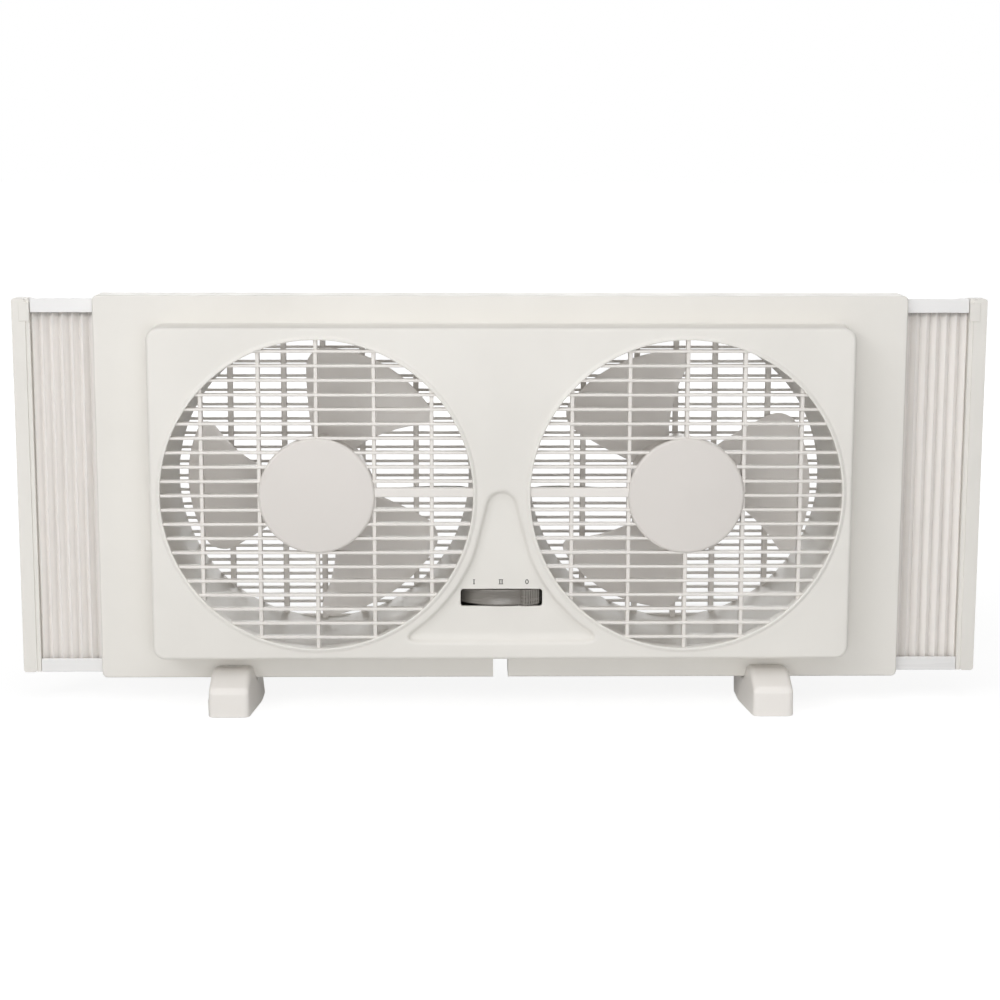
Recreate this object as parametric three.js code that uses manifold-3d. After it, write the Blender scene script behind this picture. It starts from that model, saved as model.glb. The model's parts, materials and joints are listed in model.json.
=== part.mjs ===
// Twin window fan: a two-shell body with two ducted rotors, a thumb dial, a pull-out
// pleated panel at each side and two clip-on feet.
// Millimetres. +Z is up, the front faces -Y, and the origin lies on the ground under the middle.

import * as THREE from 'three';
import { mergeGeometries, mergeVertices } from 'three/addons/utils/BufferGeometryUtils.js';
import Module from 'manifold-3d';

const wasm = await Module();
wasm.setup();

// ---------------------------------------------------------------- driving sizes

// Fits
const GAP = 0.3; // between pieces that touch
const RUNNING = 0.4; // round a shaft that turns
const SLIDING = 0.5; // beside a piece that slides

// Body: a flat flange with a raised box on its front and a deeper one on its rear. The openings
// give the boxes their size, and the boxes the flange.
const OPENING_RADIUS = 114.3;
const OPENINGS_GAP_WIDTH = 42;
const BEZEL_SIDE_MARGIN = 8.4;
const BEZEL_TOP_MARGIN = 9.2;
const FLANGE_SIDE_MARGIN = 42;
const FLANGE_TOP_MARGIN = 20.5;
const BODY_DEPTH = 28;
const BODY_CORNER = 4;
const WALL = 2.4;
const BEZEL_CORNER = 10;
const BEZEL_EDGE = 2.4;
const FRONT_RISE = 30;
const REAR_RISE = 40;
const NOTCH_WIDTH = 11.3;

// Front grille
const RIM_WIDTH = 3;
const RIM_RISE = 1.4;
const CAP_RISE = 1;
const BAR_PITCH = 10.6;
const BAR_HEIGHT = 2.2;
const BAR_DEPTH = 6.4;
const BAR_SET_BACK = 0.6;
const SPOKE_PITCH = 42;
const SPOKE_WIDTH = 2.9;
const SPOKE_DEPTH = 2.4;
const LEAD_COVER_HEIGHT = 6.8;

// Rear grille and ducts
const DUCT_TAPER = 2.8; // by which the rear opening's radius is smaller
const LOUVRE_PITCH = 11.05;
const LOUVRE_HEIGHT = 2;
const LOUVRE_DEPTH = 4.5;
const REAR_SPOKES = [-71, -30, 0, 30, 71];
const REAR_SPOKE_WIDTH = 4.2;
const REAR_SPOKE_DEPTH = 2.4;
const DUCT_WALL = 2;

// Bell-shaped recess that holds the dial
const RECESS_DEPTH = 4;
const RECESS_MARGIN = 7.7; // from each opening
const RECESS_TOP_RADIUS = 12.4;
const RECESS_TOP_BELOW_AXIS = 8.2;
const RECESS_NECK_BELOW_AXIS = 44;
const RECESS_ABOVE_EDGE = 12.5;
const RECESS_CORNER = 5;
const SLOT_WIDTH = 60.3;
const SLOT_HEIGHT = 13;
const SLOT_CORNER = 3;

// Speed dial and rotary switch
const DIAL_RADIUS = 40;
const DIAL_HEIGHT = 12;
const DIAL_PROUD = 1.5;
const DIAL_CLEARANCE = 3;
const DIAL_WEB = 2.4;
const DIAL_STEP = 30; // degrees between two of its three positions
const TAB_REACH = 4.5;
const TAB_WIDTH = 14;
const TAB_RIBS = 5;
const TAB_RIB_DEPTH = 0.8;
const SPINDLE_RADIUS = 3;
const SPINDLE_DEPTH = 6;
const SWITCH_WIDTH = 26;
const SWITCH_DEPTH = 26;
const SWITCH_HEIGHT = 16;
const SHELF_WIDTH = 40;

// Motor
const MOTOR_RADIUS = 30;
const MOTOR_SKIN = 1.4;
const BELL_DEPTH = 9;
const STACK_LENGTH = 18;
const STATOR_YOKE = 6;
const POLE_DEPTH = 7;
const POLE_ANGLE = 50; // degrees of each pole shoe
const COIL_REACH = 5;
const COIL_WIDTH = 6.5;
const ROTOR_AIR_GAP = 0.6;
const SHAFT_RADIUS = 3;
const BEARING_WALL = 3.4;
const BEARING_LENGTH = 7;
const MOTOR_STANDOFF = 5;
const EAR_REACH = 4.5; // from the motor's side to the ear's hole
const EAR_WIDTH = 9;
const EAR_CLEARANCE = 1.3;

// Rotor
const BLADES = 3;
const BLADE_CLEARANCE = 10.5;
const BLADE_SPREAD = 57; // degrees
const BLADE_CORNER = 20;
const BLADE_LIFT = 27; // from one edge to the other along the shaft
const BLADE_THICKNESS = 2.2;
const ROTOR_HUB_RADIUS = 37.4;
const ROTOR_HUB_WALL = 2.2;
const ROTOR_HUB_LENGTH = 33;
const ROTOR_BOSS_RADIUS = 7;
const SHAFT_END_CLEARANCE = 0.9;
const LEFT_ROTOR_TURN = 61; // degrees of its first blade from +X, seen from the front
const NUT_RADIUS = 6;
const NUT_LENGTH = 4;
const NUT_SIDES = 6;

// Screws
const SCREW_RADIUS = 1.6;
const SCREW_HEAD_RADIUS = 3.2;
const SCREW_HEAD_HEIGHT = 2.2;
const BODY_SCREW_LENGTH = 18;
const BODY_SCREW_SEAT = 8; // behind the seam
const SMALL_SCREW_LENGTH = 6;
const POST_WALL = 2.4;
const CORNER_SCREW_INSET_X = 20;
const CORNER_SCREW_INSET_Z = 19.5;
const TOP_SCREW_INSET = 15.5;
const BOTTOM_SCREW_INSET = 5.5;

// Side panels
const END_BAR_WIDTH = 13;
const END_BAR_DEPTH = 15;
const END_BAR_LIP = 3;
const END_BAR_LIP_DROP = 1.2;
const PANEL_REACH = 60; // past the body, as stored
const PANEL_INSET = 2.8; // below the body's top and above its bottom
const PANEL_OUT = 65; // further travel outwards
const TRACK_HEIGHT = 10.4;
const TRACK_DEPTH = 13;
const TRACK_SKIN = 1.5;
const TRACK_ENGAGED = 35; // left inside when the panel is fully out
const CLIP_WIDTH = 7.6;
const CLIP_HEIGHT = 13.6;
const CLIP_RISE = 0.8;
const CLIP_BELOW_TOP = 3;
const PLEATS = 12;
const PLEAT_DEPTH = 8;
const PLEAT_THICKNESS = 1;
const PLEAT_IN_TRACK = 3.5;
const ANCHOR_THICKNESS = 2;

// Feet
const FOOT_INSET = 99.3; // from the body's end to the foot's middle
const FOOT_LENGTH = 118;
const FOOT_END_WIDTH = 29.6;
const FOOT_MIDDLE_WIDTH = 41;
const FOOT_MIDDLE_LENGTH = 24;
const FOOT_DROP = 19;
const FOOT_END_HEIGHT = 21.4;
const FOOT_ARM_HEIGHT = 27;
const FOOT_CORNER = 4;

// Leads and the cord inlet
const LEAD_RADIUS = 1.5;
const MAINS_LEAD_RADIUS = 2.4;
const INLET_RADIUS = 7;
const INLET_FLANGE_RADIUS = 9.5;
const INLET_FLANGE_DEPTH = 2.5;
const INLET_LENGTH = 12;
const INLET_ABOVE_EDGE = 25.5;

// Facets round a circle
const LARGE_ROUND = 36;
const DIAL_ROUND = 28;
const MEDIUM_ROUND = 16;
const SMALL_ROUND = 8;

// ---------------------------------------------------------------- places

const FAN_SPACING = 2 * OPENING_RADIUS + OPENINGS_GAP_WIDTH;
const BEZEL_WIDTH = FAN_SPACING + 2 * (OPENING_RADIUS + BEZEL_SIDE_MARGIN);
const BEZEL_HEIGHT = 2 * (OPENING_RADIUS + BEZEL_TOP_MARGIN);
const BODY_WIDTH = BEZEL_WIDTH + 2 * FLANGE_SIDE_MARGIN;
const BODY_HEIGHT = BEZEL_HEIGHT + 2 * FLANGE_TOP_MARGIN;
const AXIS_Z = FOOT_DROP + BODY_HEIGHT / 2;
const FLANGE_FRONT = -BODY_DEPTH / 2;
const FLANGE_REAR = BODY_DEPTH / 2;
const FRONT_FACE = FLANGE_FRONT - FRONT_RISE;
const REAR_FACE = FLANGE_REAR + REAR_RISE;
const FAN_X = FAN_SPACING / 2;
const FOOT_X = BODY_WIDTH / 2 - FOOT_INSET;
const SIDES = { left: -1, right: 1 };

const BAR_FRONT = FRONT_FACE + BAR_SET_BACK;
const BAR_BACK = BAR_FRONT + BAR_DEPTH;
const SPOKE_FRONT = BAR_BACK + GAP;
const SPOKE_BACK = SPOKE_FRONT + SPOKE_DEPTH;
const EAR_RADIUS = MOTOR_RADIUS + EAR_REACH;
const CAP_RADIUS = EAR_RADIUS + EAR_WIDTH / 2 + EAR_CLEARANCE + WALL;
const CAP_FRONT = FRONT_FACE - CAP_RISE;
const CAP_BACK = CAP_FRONT + WALL;
const LOUVRE_FRONT = REAR_FACE - LOUVRE_DEPTH;
const REAR_SPOKE_BACK = LOUVRE_FRONT - GAP;
const REAR_SPOKE_FRONT = REAR_SPOKE_BACK - REAR_SPOKE_DEPTH;
const DUCT_FRONT = SPOKE_BACK + GAP;
const DUCT_OUTER = OPENING_RADIUS + DUCT_WALL;
const REAR_OPENING_RADIUS = OPENING_RADIUS - DUCT_TAPER;
const BLADE_TIP_RADIUS = REAR_OPENING_RADIUS - BLADE_CLEARANCE;

// The dial lies as high as the ducts leave room for it.
const DIAL_TOP = -Math.sqrt(DUCT_OUTER ** 2 - (FAN_X - DIAL_RADIUS - DIAL_CLEARANCE) ** 2);
const SLOT_BELOW_AXIS = DIAL_HEIGHT / 2 - DIAL_TOP;
const RECESS_BOTTOM_BELOW_AXIS = BEZEL_HEIGHT / 2 - RECESS_ABOVE_EDGE;
const INLET_BELOW_AXIS = BEZEL_HEIGHT / 2 - INLET_ABOVE_EDGE;
const RECESS_FLOOR = FRONT_FACE + RECESS_DEPTH;
const DIAL_Y = RECESS_FLOOR - DIAL_PROUD + DIAL_RADIUS;
const DIAL_Z = -SLOT_BELOW_AXIS;
const DIAL_BOTTOM = DIAL_Z - DIAL_HEIGHT / 2;
const SWITCH_TOP = DIAL_BOTTOM - WALL;
const SWITCH_BOTTOM = SWITCH_TOP - SWITCH_HEIGHT;
const SHELF_TOP = SWITCH_BOTTOM - GAP;
const SHELF_BOTTOM = SHELF_TOP - WALL;
const SHELF_BACK = DIAL_Y + SWITCH_DEPTH / 2 + WALL;
const SWITCH_SCREW_X = SWITCH_WIDTH / 4;

const STATOR_BORE = MOTOR_RADIUS - STATOR_YOKE - POLE_DEPTH;
const MOTOR_FRONT = CAP_BACK + MOTOR_STANDOFF;
const STACK_FRONT = MOTOR_FRONT + BELL_DEPTH + GAP;
const STACK_BACK = STACK_FRONT + STACK_LENGTH;
const MOTOR_BACK = STACK_BACK + GAP + BELL_DEPTH;
const NUT_BACK = REAR_SPOKE_FRONT - SHAFT_END_CLEARANCE - 2 * GAP;
const HUB_BACK = NUT_BACK - NUT_LENGTH - GAP;
const HUB_FRONT = HUB_BACK - ROTOR_HUB_LENGTH;
const BEARING_RADIUS = SHAFT_RADIUS + RUNNING + BEARING_WALL;

const PANEL_OUTER = BODY_WIDTH / 2 + PANEL_REACH;
const BAR_INNER = PANEL_OUTER - END_BAR_WIDTH;
const TRACK_INNER = BODY_WIDTH / 2 - PANEL_OUT - TRACK_ENGAGED;
const PANEL_HEIGHT = BODY_HEIGHT - 2 * PANEL_INSET;
const TRACK_TOP = PANEL_HEIGHT / 2;
const TRACK_BOTTOM = TRACK_TOP - TRACK_HEIGHT;
const PLEAT_TOP = TRACK_BOTTOM + PLEAT_IN_TRACK;
const ANCHOR_OUTER = BEZEL_WIDTH / 2;
const ANCHOR_INNER = ANCHOR_OUTER - ANCHOR_THICKNESS;
const CAVITY_FRONT = FLANGE_FRONT + WALL;
const CAVITY_BACK = FLANGE_REAR - WALL;

const POST_RADIUS = SCREW_RADIUS + GAP + POST_WALL;
const SEAT_RADIUS = SCREW_HEAD_RADIUS + GAP;
const PANEL_IN = PANEL_REACH - END_BAR_WIDTH - SLIDING;
const LEAD_Y = SPOKE_BACK + GAP + 2 * LEAD_RADIUS;
const LEAD_Z = LEAD_COVER_HEIGHT / 2 - BAR_HEIGHT / 2;
const SHAFT_FRONT = MOTOR_FRONT + GAP;
const SWITCH_BACK = DIAL_Y + SWITCH_DEPTH / 2 + GAP;
const SWITCH_MIDDLE = (SWITCH_TOP + SWITCH_BOTTOM) / 2;
const QUARTER = Math.PI / 2;
const CORNER_SCREW_X = BEZEL_WIDTH / 2 - CORNER_SCREW_INSET_X;
const CORNER_SCREW_Z = BEZEL_HEIGHT / 2 - CORNER_SCREW_INSET_Z;
const TOP_SCREW_Z = BEZEL_HEIGHT / 2 - TOP_SCREW_INSET;
const BOTTOM_SCREW_Z = BEZEL_HEIGHT / 2 - BOTTOM_SCREW_INSET;
const BODY_SCREWS = [
  [-CORNER_SCREW_X, CORNER_SCREW_Z],
  [CORNER_SCREW_X, CORNER_SCREW_Z],
  [-CORNER_SCREW_X, -CORNER_SCREW_Z],
  [CORNER_SCREW_X, -CORNER_SCREW_Z],
  [0, TOP_SCREW_Z],
  [0, -BOTTOM_SCREW_Z],
];

// ---------------------------------------------------------------- materials

const plastic = (color, roughness = 0.45) =>
  new THREE.MeshStandardMaterial({ color, roughness, metalness: 0 });
const metal = (color, roughness = 0.4) =>
  new THREE.MeshStandardMaterial({ color, roughness, metalness: 0.9 });
const SHELL = plastic(0xe7e5e0);
const BLADE = plastic(0xd8d4d0, 0.4);
const DIAL = plastic(0x78746e, 0.5);
const TRACK = plastic(0xf0efef, 0.4);
const PLEAT = plastic(0xe9e5e1, 0.55);
const SWITCH = plastic(0x2c2c2c, 0.5);
const LEAD = plastic(0xdedede, 0.5);
const INLET = plastic(0x3a3a3a, 0.6);
const STEEL = metal(0xb9bcc0);
const LAMINATION = metal(0x70747a, 0.55);
const COPPER = metal(0xa5602f, 0.4);
const BRONZE = metal(0xa98245, 0.5);

// ---------------------------------------------------------------- solids

// A closed solid from any closed three.js geometry.
function solid(geometry) {
  geometry.deleteAttribute('normal');
  geometry.deleteAttribute('uv');
  const merged = mergeVertices(geometry, 1e-4);
  const index = [];
  for (let i = 0; i < merged.index.count; i += 3) {
    const [a, b, c] = [0, 1, 2].map((k) => merged.index.getX(i + k));
    if (a !== b && b !== c && a !== c) index.push(a, b, c);
  }
  const vertProperties = new Float32Array(merged.attributes.position.array);
  const triVerts = new Uint32Array(index);
  return new wasm.Manifold(new wasm.Mesh({ numProp: 3, vertProperties, triVerts }));
}

function geometryOf(body) {
  const { vertProperties, triVerts } = body.getMesh();
  const geometry = new THREE.BufferGeometry();
  geometry.setAttribute('position', new THREE.BufferAttribute(vertProperties, 3));
  geometry.setIndex(new THREE.BufferAttribute(triVerts, 1));
  geometry.computeVertexNormals();
  return geometry;
}

const join = (...bodies) => bodies.reduce((whole, body) => whole.add(body));
const cut = (body, ...tools) => tools.reduce((left, tool) => left.subtract(tool), body);

function boxGeometry([x0, x1], [y0, y1], [z0, z1]) {
  const box = new THREE.BoxGeometry(x1 - x0, y1 - y0, z1 - z0);
  return box.translate((x0 + x1) / 2, (y0 + y1) / 2, (z0 + z1) / 2);
}

const block = (x, y, z) => solid(boxGeometry(x, y, z));

// The same range, on the side that sign names.
const mirrored = (sign, low, high) => (sign > 0 ? [low, high] : [-high, -low]);

// An outline in X and Z, with thickness from y0 to y1.
function slab(shape, y0, y1, curveSegments = 4) {
  const options = { depth: y1 - y0, bevelEnabled: false, curveSegments };
  const geometry = new THREE.ExtrudeGeometry(shape, options);
  return solid(geometry.rotateX(Math.PI / 2).translate(0, y1, 0));
}

// A profile of [radius, y] points turned about the fan axis, moved to x and z.
function turned(profile, segments, x = 0, z = 0) {
  const points = profile.map(([r, y]) => new THREE.Vector2(r, y));
  return solid(new THREE.LatheGeometry(points, segments).translate(x, 0, z));
}

const disc = (radius, y0, y1, segments, x = 0, z = 0) =>
  turned([[0, y0], [radius, y0], [radius, y1], [0, y1]], segments, x, z);

const ring = (inner, outer, y0, y1, segments, x = 0, z = 0) =>
  turned([[inner, y0], [outer, y0], [outer, y1], [inner, y1], [inner, y0]], segments, x, z);

// A profile of [radius, z] points turned about an upright axis.
function spun(profile, segments, x = 0, y = 0) {
  const points = profile.map(([r, z]) => new THREE.Vector2(r, -z)).reverse();
  const lathe = new THREE.LatheGeometry(points, segments);
  return solid(lathe.rotateX(-Math.PI / 2).translate(x, y, 0));
}

function roundedRect(width, height, radius, x = 0, z = 0) {
  const [w, h] = [width / 2, height / 2];
  const shape = new THREE.Shape();
  shape.moveTo(x - w + radius, z - h);
  shape.lineTo(x + w - radius, z - h);
  shape.absarc(x + w - radius, z - h + radius, radius, -Math.PI / 2, 0);
  shape.lineTo(x + w, z + h - radius);
  shape.absarc(x + w - radius, z + h - radius, radius, 0, Math.PI / 2);
  shape.lineTo(x - w + radius, z + h);
  shape.absarc(x - w + radius, z + h - radius, radius, Math.PI / 2, Math.PI);
  shape.lineTo(x - w, z - h + radius);
  shape.absarc(x - w + radius, z - h + radius, radius, Math.PI, 1.5 * Math.PI);
  return shape;
}

// ---------------------------------------------------------------- shared body shapes

// The raised box, with a rounded edge at both ends.
function bezelBox(y0, y1) {
  const shape = roundedRect(BEZEL_WIDTH, BEZEL_HEIGHT, BEZEL_CORNER);
  const geometry = new THREE.ExtrudeGeometry(shape, {
    depth: y1 - y0 - 2 * BEZEL_EDGE,
    bevelThickness: BEZEL_EDGE,
    bevelSize: BEZEL_EDGE,
    bevelOffset: -BEZEL_EDGE,
    bevelSegments: 2,
    curveSegments: 3,
  });
  return solid(geometry.rotateX(Math.PI / 2).translate(0, y1 - BEZEL_EDGE, 0));
}

// Everything inside the body's walls, between y0 and y1, where the flange is hollow.
function flangeCavity(y0, y1) {
  const radius = BODY_CORNER - WALL > 0 ? BODY_CORNER - WALL : GAP;
  return slab(roundedRect(BODY_WIDTH - 2 * WALL, BODY_HEIGHT - 2 * WALL, radius), y0, y1, 1);
}

function bezelCavity(y0, y1) {
  const radius = BEZEL_CORNER - WALL;
  return slab(roundedRect(BEZEL_WIDTH - 2 * WALL, BEZEL_HEIGHT - 2 * WALL, radius), y0, y1, 2);
}

// The slot in each side of the flange that the panel slides through.
function panelMouths() {
  const depth = TRACK_DEPTH / 2 + SLIDING;
  const height = TRACK_TOP + GAP;
  return Object.values(SIDES).map((sign) =>
    block(
      mirrored(sign, BODY_WIDTH / 2 - 2 * WALL, BODY_WIDTH / 2 + WALL),
      [-depth, depth],
      [-height, height],
    ),
  );
}

// The notch in the lower edge, with walls of its own.
const NOTCH_TOP = -BEZEL_HEIGHT / 2 - GAP;
const notchSleeve = (y0, y1) =>
  block(
    [-NOTCH_WIDTH / 2 - WALL, NOTCH_WIDTH / 2 + WALL],
    [y0, y1],
    [-BODY_HEIGHT / 2, NOTCH_TOP + WALL],
  );
const notchCut = () =>
  block(
    [-NOTCH_WIDTH / 2, NOTCH_WIDTH / 2],
    [2 * FRONT_FACE, 2 * REAR_FACE],
    [-BODY_HEIGHT, NOTCH_TOP],
  );

// Ribs inside one half of the flange: each track runs between them, and one traps the anchor
// strip. `skin` is the inside of that half's flange wall, and `toward` points to the seam.
function flangeRibs(skin, toward) {
  const span = (reach) => (toward > 0 ? [skin - GAP, -reach] : [reach, skin + GAP]);
  const beside = span(TRACK_DEPTH / 2 + SLIDING);
  const under = span(TRACK_DEPTH / 2 - TRACK_SKIN);
  const ribs = [];
  for (const sign of Object.values(SIDES)) {
    const along = mirrored(sign, TRACK_INNER - PANEL_IN, BODY_WIDTH / 2 - WALL / 2);
    for (const up of [1, -1]) {
      const middle = (TRACK_TOP + TRACK_BOTTOM) / 2;
      const side = mirrored(up, middle - WALL / 2, middle + WALL / 2);
      const shelf = mirrored(up, TRACK_BOTTOM - SLIDING - WALL, TRACK_BOTTOM - SLIDING);
      ribs.push(block(along, beside, side), block(along, under, shelf));
    }
    const keeper = mirrored(sign, ANCHOR_OUTER + GAP, ANCHOR_OUTER + GAP + WALL);
    ribs.push(block(keeper, span(PLEAT_DEPTH / 2 + 2 * SLIDING), [-CORNER_SCREW_Z, CORNER_SCREW_Z]));
  }
  return ribs;
}

// The gaps between a grille's bars, as boxes across the opening. Beside the cap each gap is two
// boxes, and floorOf says how high each of them starts.
function barGaps({ radius, pitch, bar, y, cap = 0, floorOf = (row) => row * pitch + bar / 2 }) {
  const rows = Math.ceil(radius / pitch);
  const reach = radius + bar;
  const boxes = [];
  for (let row = -rows; row < rows; row += 1) {
    const besideCap = Math.min(Math.abs(row), Math.abs(row + 1)) * pitch + bar / 2 < cap;
    const spans = besideCap ? [[-reach, -cap / 2], [cap / 2, reach]] : [[-reach, reach]];
    for (const span of spans) {
      boxes.push(boxGeometry(span, y, [floorOf(row, span), (row + 1) * pitch - bar / 2]));
    }
  }
  return mergeGeometries(boxes);
}

// Upright spokes on the inner side of the bars, held by the rim and by the cap.
function uprightSpokes(x, places, width, y, between) {
  const reach = OPENING_RADIUS + RIM_WIDTH;
  const boxes = places.map((place) =>
    boxGeometry([x + place - width / 2, x + place + width / 2], y, [-reach, reach]),
  );
  return solid(mergeGeometries(boxes)).intersect(between);
}

// ---------------------------------------------------------------- front housing

function recessShape(grow = 0) {
  const radius = OPENING_RADIUS + RECESS_MARGIN - grow;
  const bottom = -RECESS_BOTTOM_BELOW_AXIS - grow;
  const corner = RECESS_CORNER + grow;
  const top = RECESS_TOP_RADIUS + grow;
  // Where the bottom corner's centre lies, so that it touches the bottom and the side arc.
  const cornerZ = bottom + corner;
  const cornerX = FAN_X - Math.sqrt((radius + corner) ** 2 - cornerZ ** 2);
  const cornerAngle = Math.atan2(-cornerZ, FAN_X - cornerX);
  const neckAngle = Math.asin(RECESS_NECK_BELOW_AXIS / radius);
  const neckX = FAN_X - radius * Math.cos(neckAngle);
  const shape = new THREE.Shape();
  shape.moveTo(0, bottom);
  shape.lineTo(cornerX, bottom);
  shape.absarc(cornerX, cornerZ, corner, -Math.PI / 2, cornerAngle);
  shape.absarc(FAN_X, 0, radius, Math.PI + cornerAngle, Math.PI + neckAngle, true);
  shape.quadraticCurveTo(
    (neckX + top) / 2 - grow / 2,
    -(RECESS_NECK_BELOW_AXIS + RECESS_TOP_BELOW_AXIS) / 2,
    top,
    -RECESS_TOP_BELOW_AXIS,
  );
  shape.absarc(0, -RECESS_TOP_BELOW_AXIS, top, 0, Math.PI);
  shape.quadraticCurveTo(
    -(neckX + top) / 2 + grow / 2,
    -(RECESS_NECK_BELOW_AXIS + RECESS_TOP_BELOW_AXIS) / 2,
    -neckX,
    -RECESS_NECK_BELOW_AXIS,
  );
  shape.absarc(-FAN_X, 0, radius, -neckAngle, -cornerAngle, true);
  shape.absarc(-cornerX, cornerZ, corner, Math.PI - cornerAngle, 1.5 * Math.PI);
  return shape;
}

// One front grille with its rim and its cap, the motor's posts behind the cap included.
function frontGrille(sign) {
  const x = sign * FAN_X;
  const collar = OPENING_RADIUS + RIM_WIDTH;
  const spokes = [-2, -1, 0, 1, 2].map((n) => n * SPOKE_PITCH);
  const throughBars = [2 * FRONT_FACE, BAR_BACK + WALL];
  const spokeLayer = [SPOKE_FRONT, SPOKE_BACK];
  const [spokeFrom, spokeTo] = [CAP_RADIUS - WALL / 2, OPENING_RADIUS + WALL / 2];
  const spokeRoom = ring(spokeFrom, spokeTo, ...spokeLayer, LARGE_ROUND, x);
  // The lead's cover is a taller bar from the cap to the inner edge.
  const floorOf = (row, [x0, x1]) => {
    const covered = row === 0 && sign * (x0 + x1) < 0;
    return row * BAR_PITCH - BAR_HEIGHT / 2 + (covered ? LEAD_COVER_HEIGHT : BAR_HEIGHT);
  };
  const boxes = barGaps({
    radius: OPENING_RADIUS,
    pitch: BAR_PITCH,
    bar: BAR_HEIGHT,
    y: throughBars,
    cap: CAP_RADIUS,
    floorOf,
  });
  const between = ring(CAP_RADIUS, OPENING_RADIUS, ...throughBars, LARGE_ROUND, x);
  const gaps = solid(boxes.translate(x, 0, 0)).intersect(between);
  const rimFront = FRONT_FACE - RIM_RISE;
  const [capWall, rimWall] = [CAP_RADIUS - GAP, OPENING_RADIUS + GAP];
  const plate = turned(
    [
      [0, CAP_FRONT],
      [capWall, CAP_FRONT],
      [capWall, BAR_FRONT],
      [rimWall, BAR_FRONT],
      [rimWall, rimFront],
      [collar, rimFront],
      [collar, SPOKE_BACK],
      [rimWall, SPOKE_BACK],
      [rimWall, BAR_BACK],
      [capWall, BAR_BACK],
      [capWall, SPOKE_BACK],
      [CAP_RADIUS - WALL, SPOKE_BACK],
      [CAP_RADIUS - WALL, CAP_BACK],
      [0, CAP_BACK],
    ],
    LARGE_ROUND,
    x,
  );
  const posts = [1, -1].map((up) =>
    disc(POST_RADIUS, CAP_BACK - GAP, MOTOR_FRONT - GAP, SMALL_ROUND, x, up * EAR_RADIUS),
  );
  const pilots = [1, -1].map((up) =>
    disc(SCREW_RADIUS + GAP, CAP_BACK, SPOKE_BACK + WALL, SMALL_ROUND, x, up * EAR_RADIUS),
  );
  const built = join(
    cut(plate, gaps),
    uprightSpokes(x, spokes, SPOKE_WIDTH, spokeLayer, spokeRoom),
    ...posts,
  );
  return cut(built, ...pilots);
}

function frontHousing() {
  const seam = -GAP / 2;
  const outer = join(
    slab(roundedRect(BODY_WIDTH, BODY_HEIGHT, BODY_CORNER), FLANGE_FRONT, seam, 2),
    bezelBox(FRONT_FACE, CAVITY_FRONT),
  );
  const hollow = join(
    flangeCavity(CAVITY_FRONT, WALL),
    bezelCavity(FRONT_FACE + WALL, WALL),
  );
  const openings = Object.values(SIDES).map((sign) =>
    disc(OPENING_RADIUS, 2 * FRONT_FACE, SPOKE_BACK, LARGE_ROUND, sign * FAN_X),
  );
  const tray = cut(outer, hollow, ...openings, slab(recessShape(), 2 * FRONT_FACE, RECESS_FLOOR));
  const recessWall = cut(
    slab(recessShape(WALL), FRONT_FACE + GAP, RECESS_FLOOR + WALL),
    slab(recessShape(), 2 * FRONT_FACE, RECESS_FLOOR),
  );
  const shelf = block(
    [-SHELF_WIDTH / 2, SHELF_WIDTH / 2],
    [RECESS_FLOOR + WALL / 2, SHELF_BACK],
    [SHELF_BOTTOM, SHELF_TOP],
  );
  const below = SHELF_BOTTOM - WALL;
  const shelfHoles = [1, -1].map((side) =>
    spun(
      [[0, below], [SCREW_RADIUS + GAP, below], [SCREW_RADIUS + GAP, 0], [0, 0]],
      SMALL_ROUND,
      side * SWITCH_SCREW_X,
      DIAL_Y + SWITCH_DEPTH / 4,
    ),
  );
  const posts = BODY_SCREWS.map(([x, z]) =>
    disc(POST_RADIUS, FRONT_FACE + WALL / 2, seam, SMALL_ROUND, x, z),
  );
  const pilots = BODY_SCREWS.map(([x, z]) =>
    disc(SCREW_RADIUS + GAP, BODY_SCREW_SEAT - BODY_SCREW_LENGTH - WALL, WALL, SMALL_ROUND, x, z),
  );
  const slot = slab(
    roundedRect(SLOT_WIDTH, SLOT_HEIGHT, SLOT_CORNER, 0, -SLOT_BELOW_AXIS),
    2 * FRONT_FACE,
    RECESS_FLOOR + 2 * WALL,
    2,
  );
  const grilles = Object.values(SIDES).map(frontGrille);
  const built = join(
    tray,
    recessWall,
    cut(shelf, ...shelfHoles),
    ...posts,
    ...flangeRibs(CAVITY_FRONT, 1),
    notchSleeve(FLANGE_FRONT, seam),
    ...grilles,
  );
  return cut(built, slot, ...pilots, notchCut(), ...panelMouths());
}

// ---------------------------------------------------------------- rear housing

function duct(sign) {
  const profile = [
    [OPENING_RADIUS, DUCT_FRONT],
    [DUCT_OUTER, DUCT_FRONT],
    [REAR_OPENING_RADIUS + DUCT_WALL, REAR_FACE - WALL / 2],
    [REAR_OPENING_RADIUS, REAR_FACE - WALL / 2],
    [OPENING_RADIUS, DUCT_FRONT],
  ];
  const wall = turned(profile, LARGE_ROUND, sign * FAN_X);
  // A gap in the inner side lets the motor's lead out.
  const leadGap = block(
    mirrored(-sign, OPENING_RADIUS - 2 * WALL - FAN_X, DUCT_OUTER + WALL - FAN_X),
    [DUCT_FRONT - WALL, LEAD_Y + LEAD_RADIUS + GAP],
    [LEAD_Z - LEAD_RADIUS - GAP, LEAD_Z + LEAD_RADIUS + GAP],
  );
  return cut(wall, leadGap);
}

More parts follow.
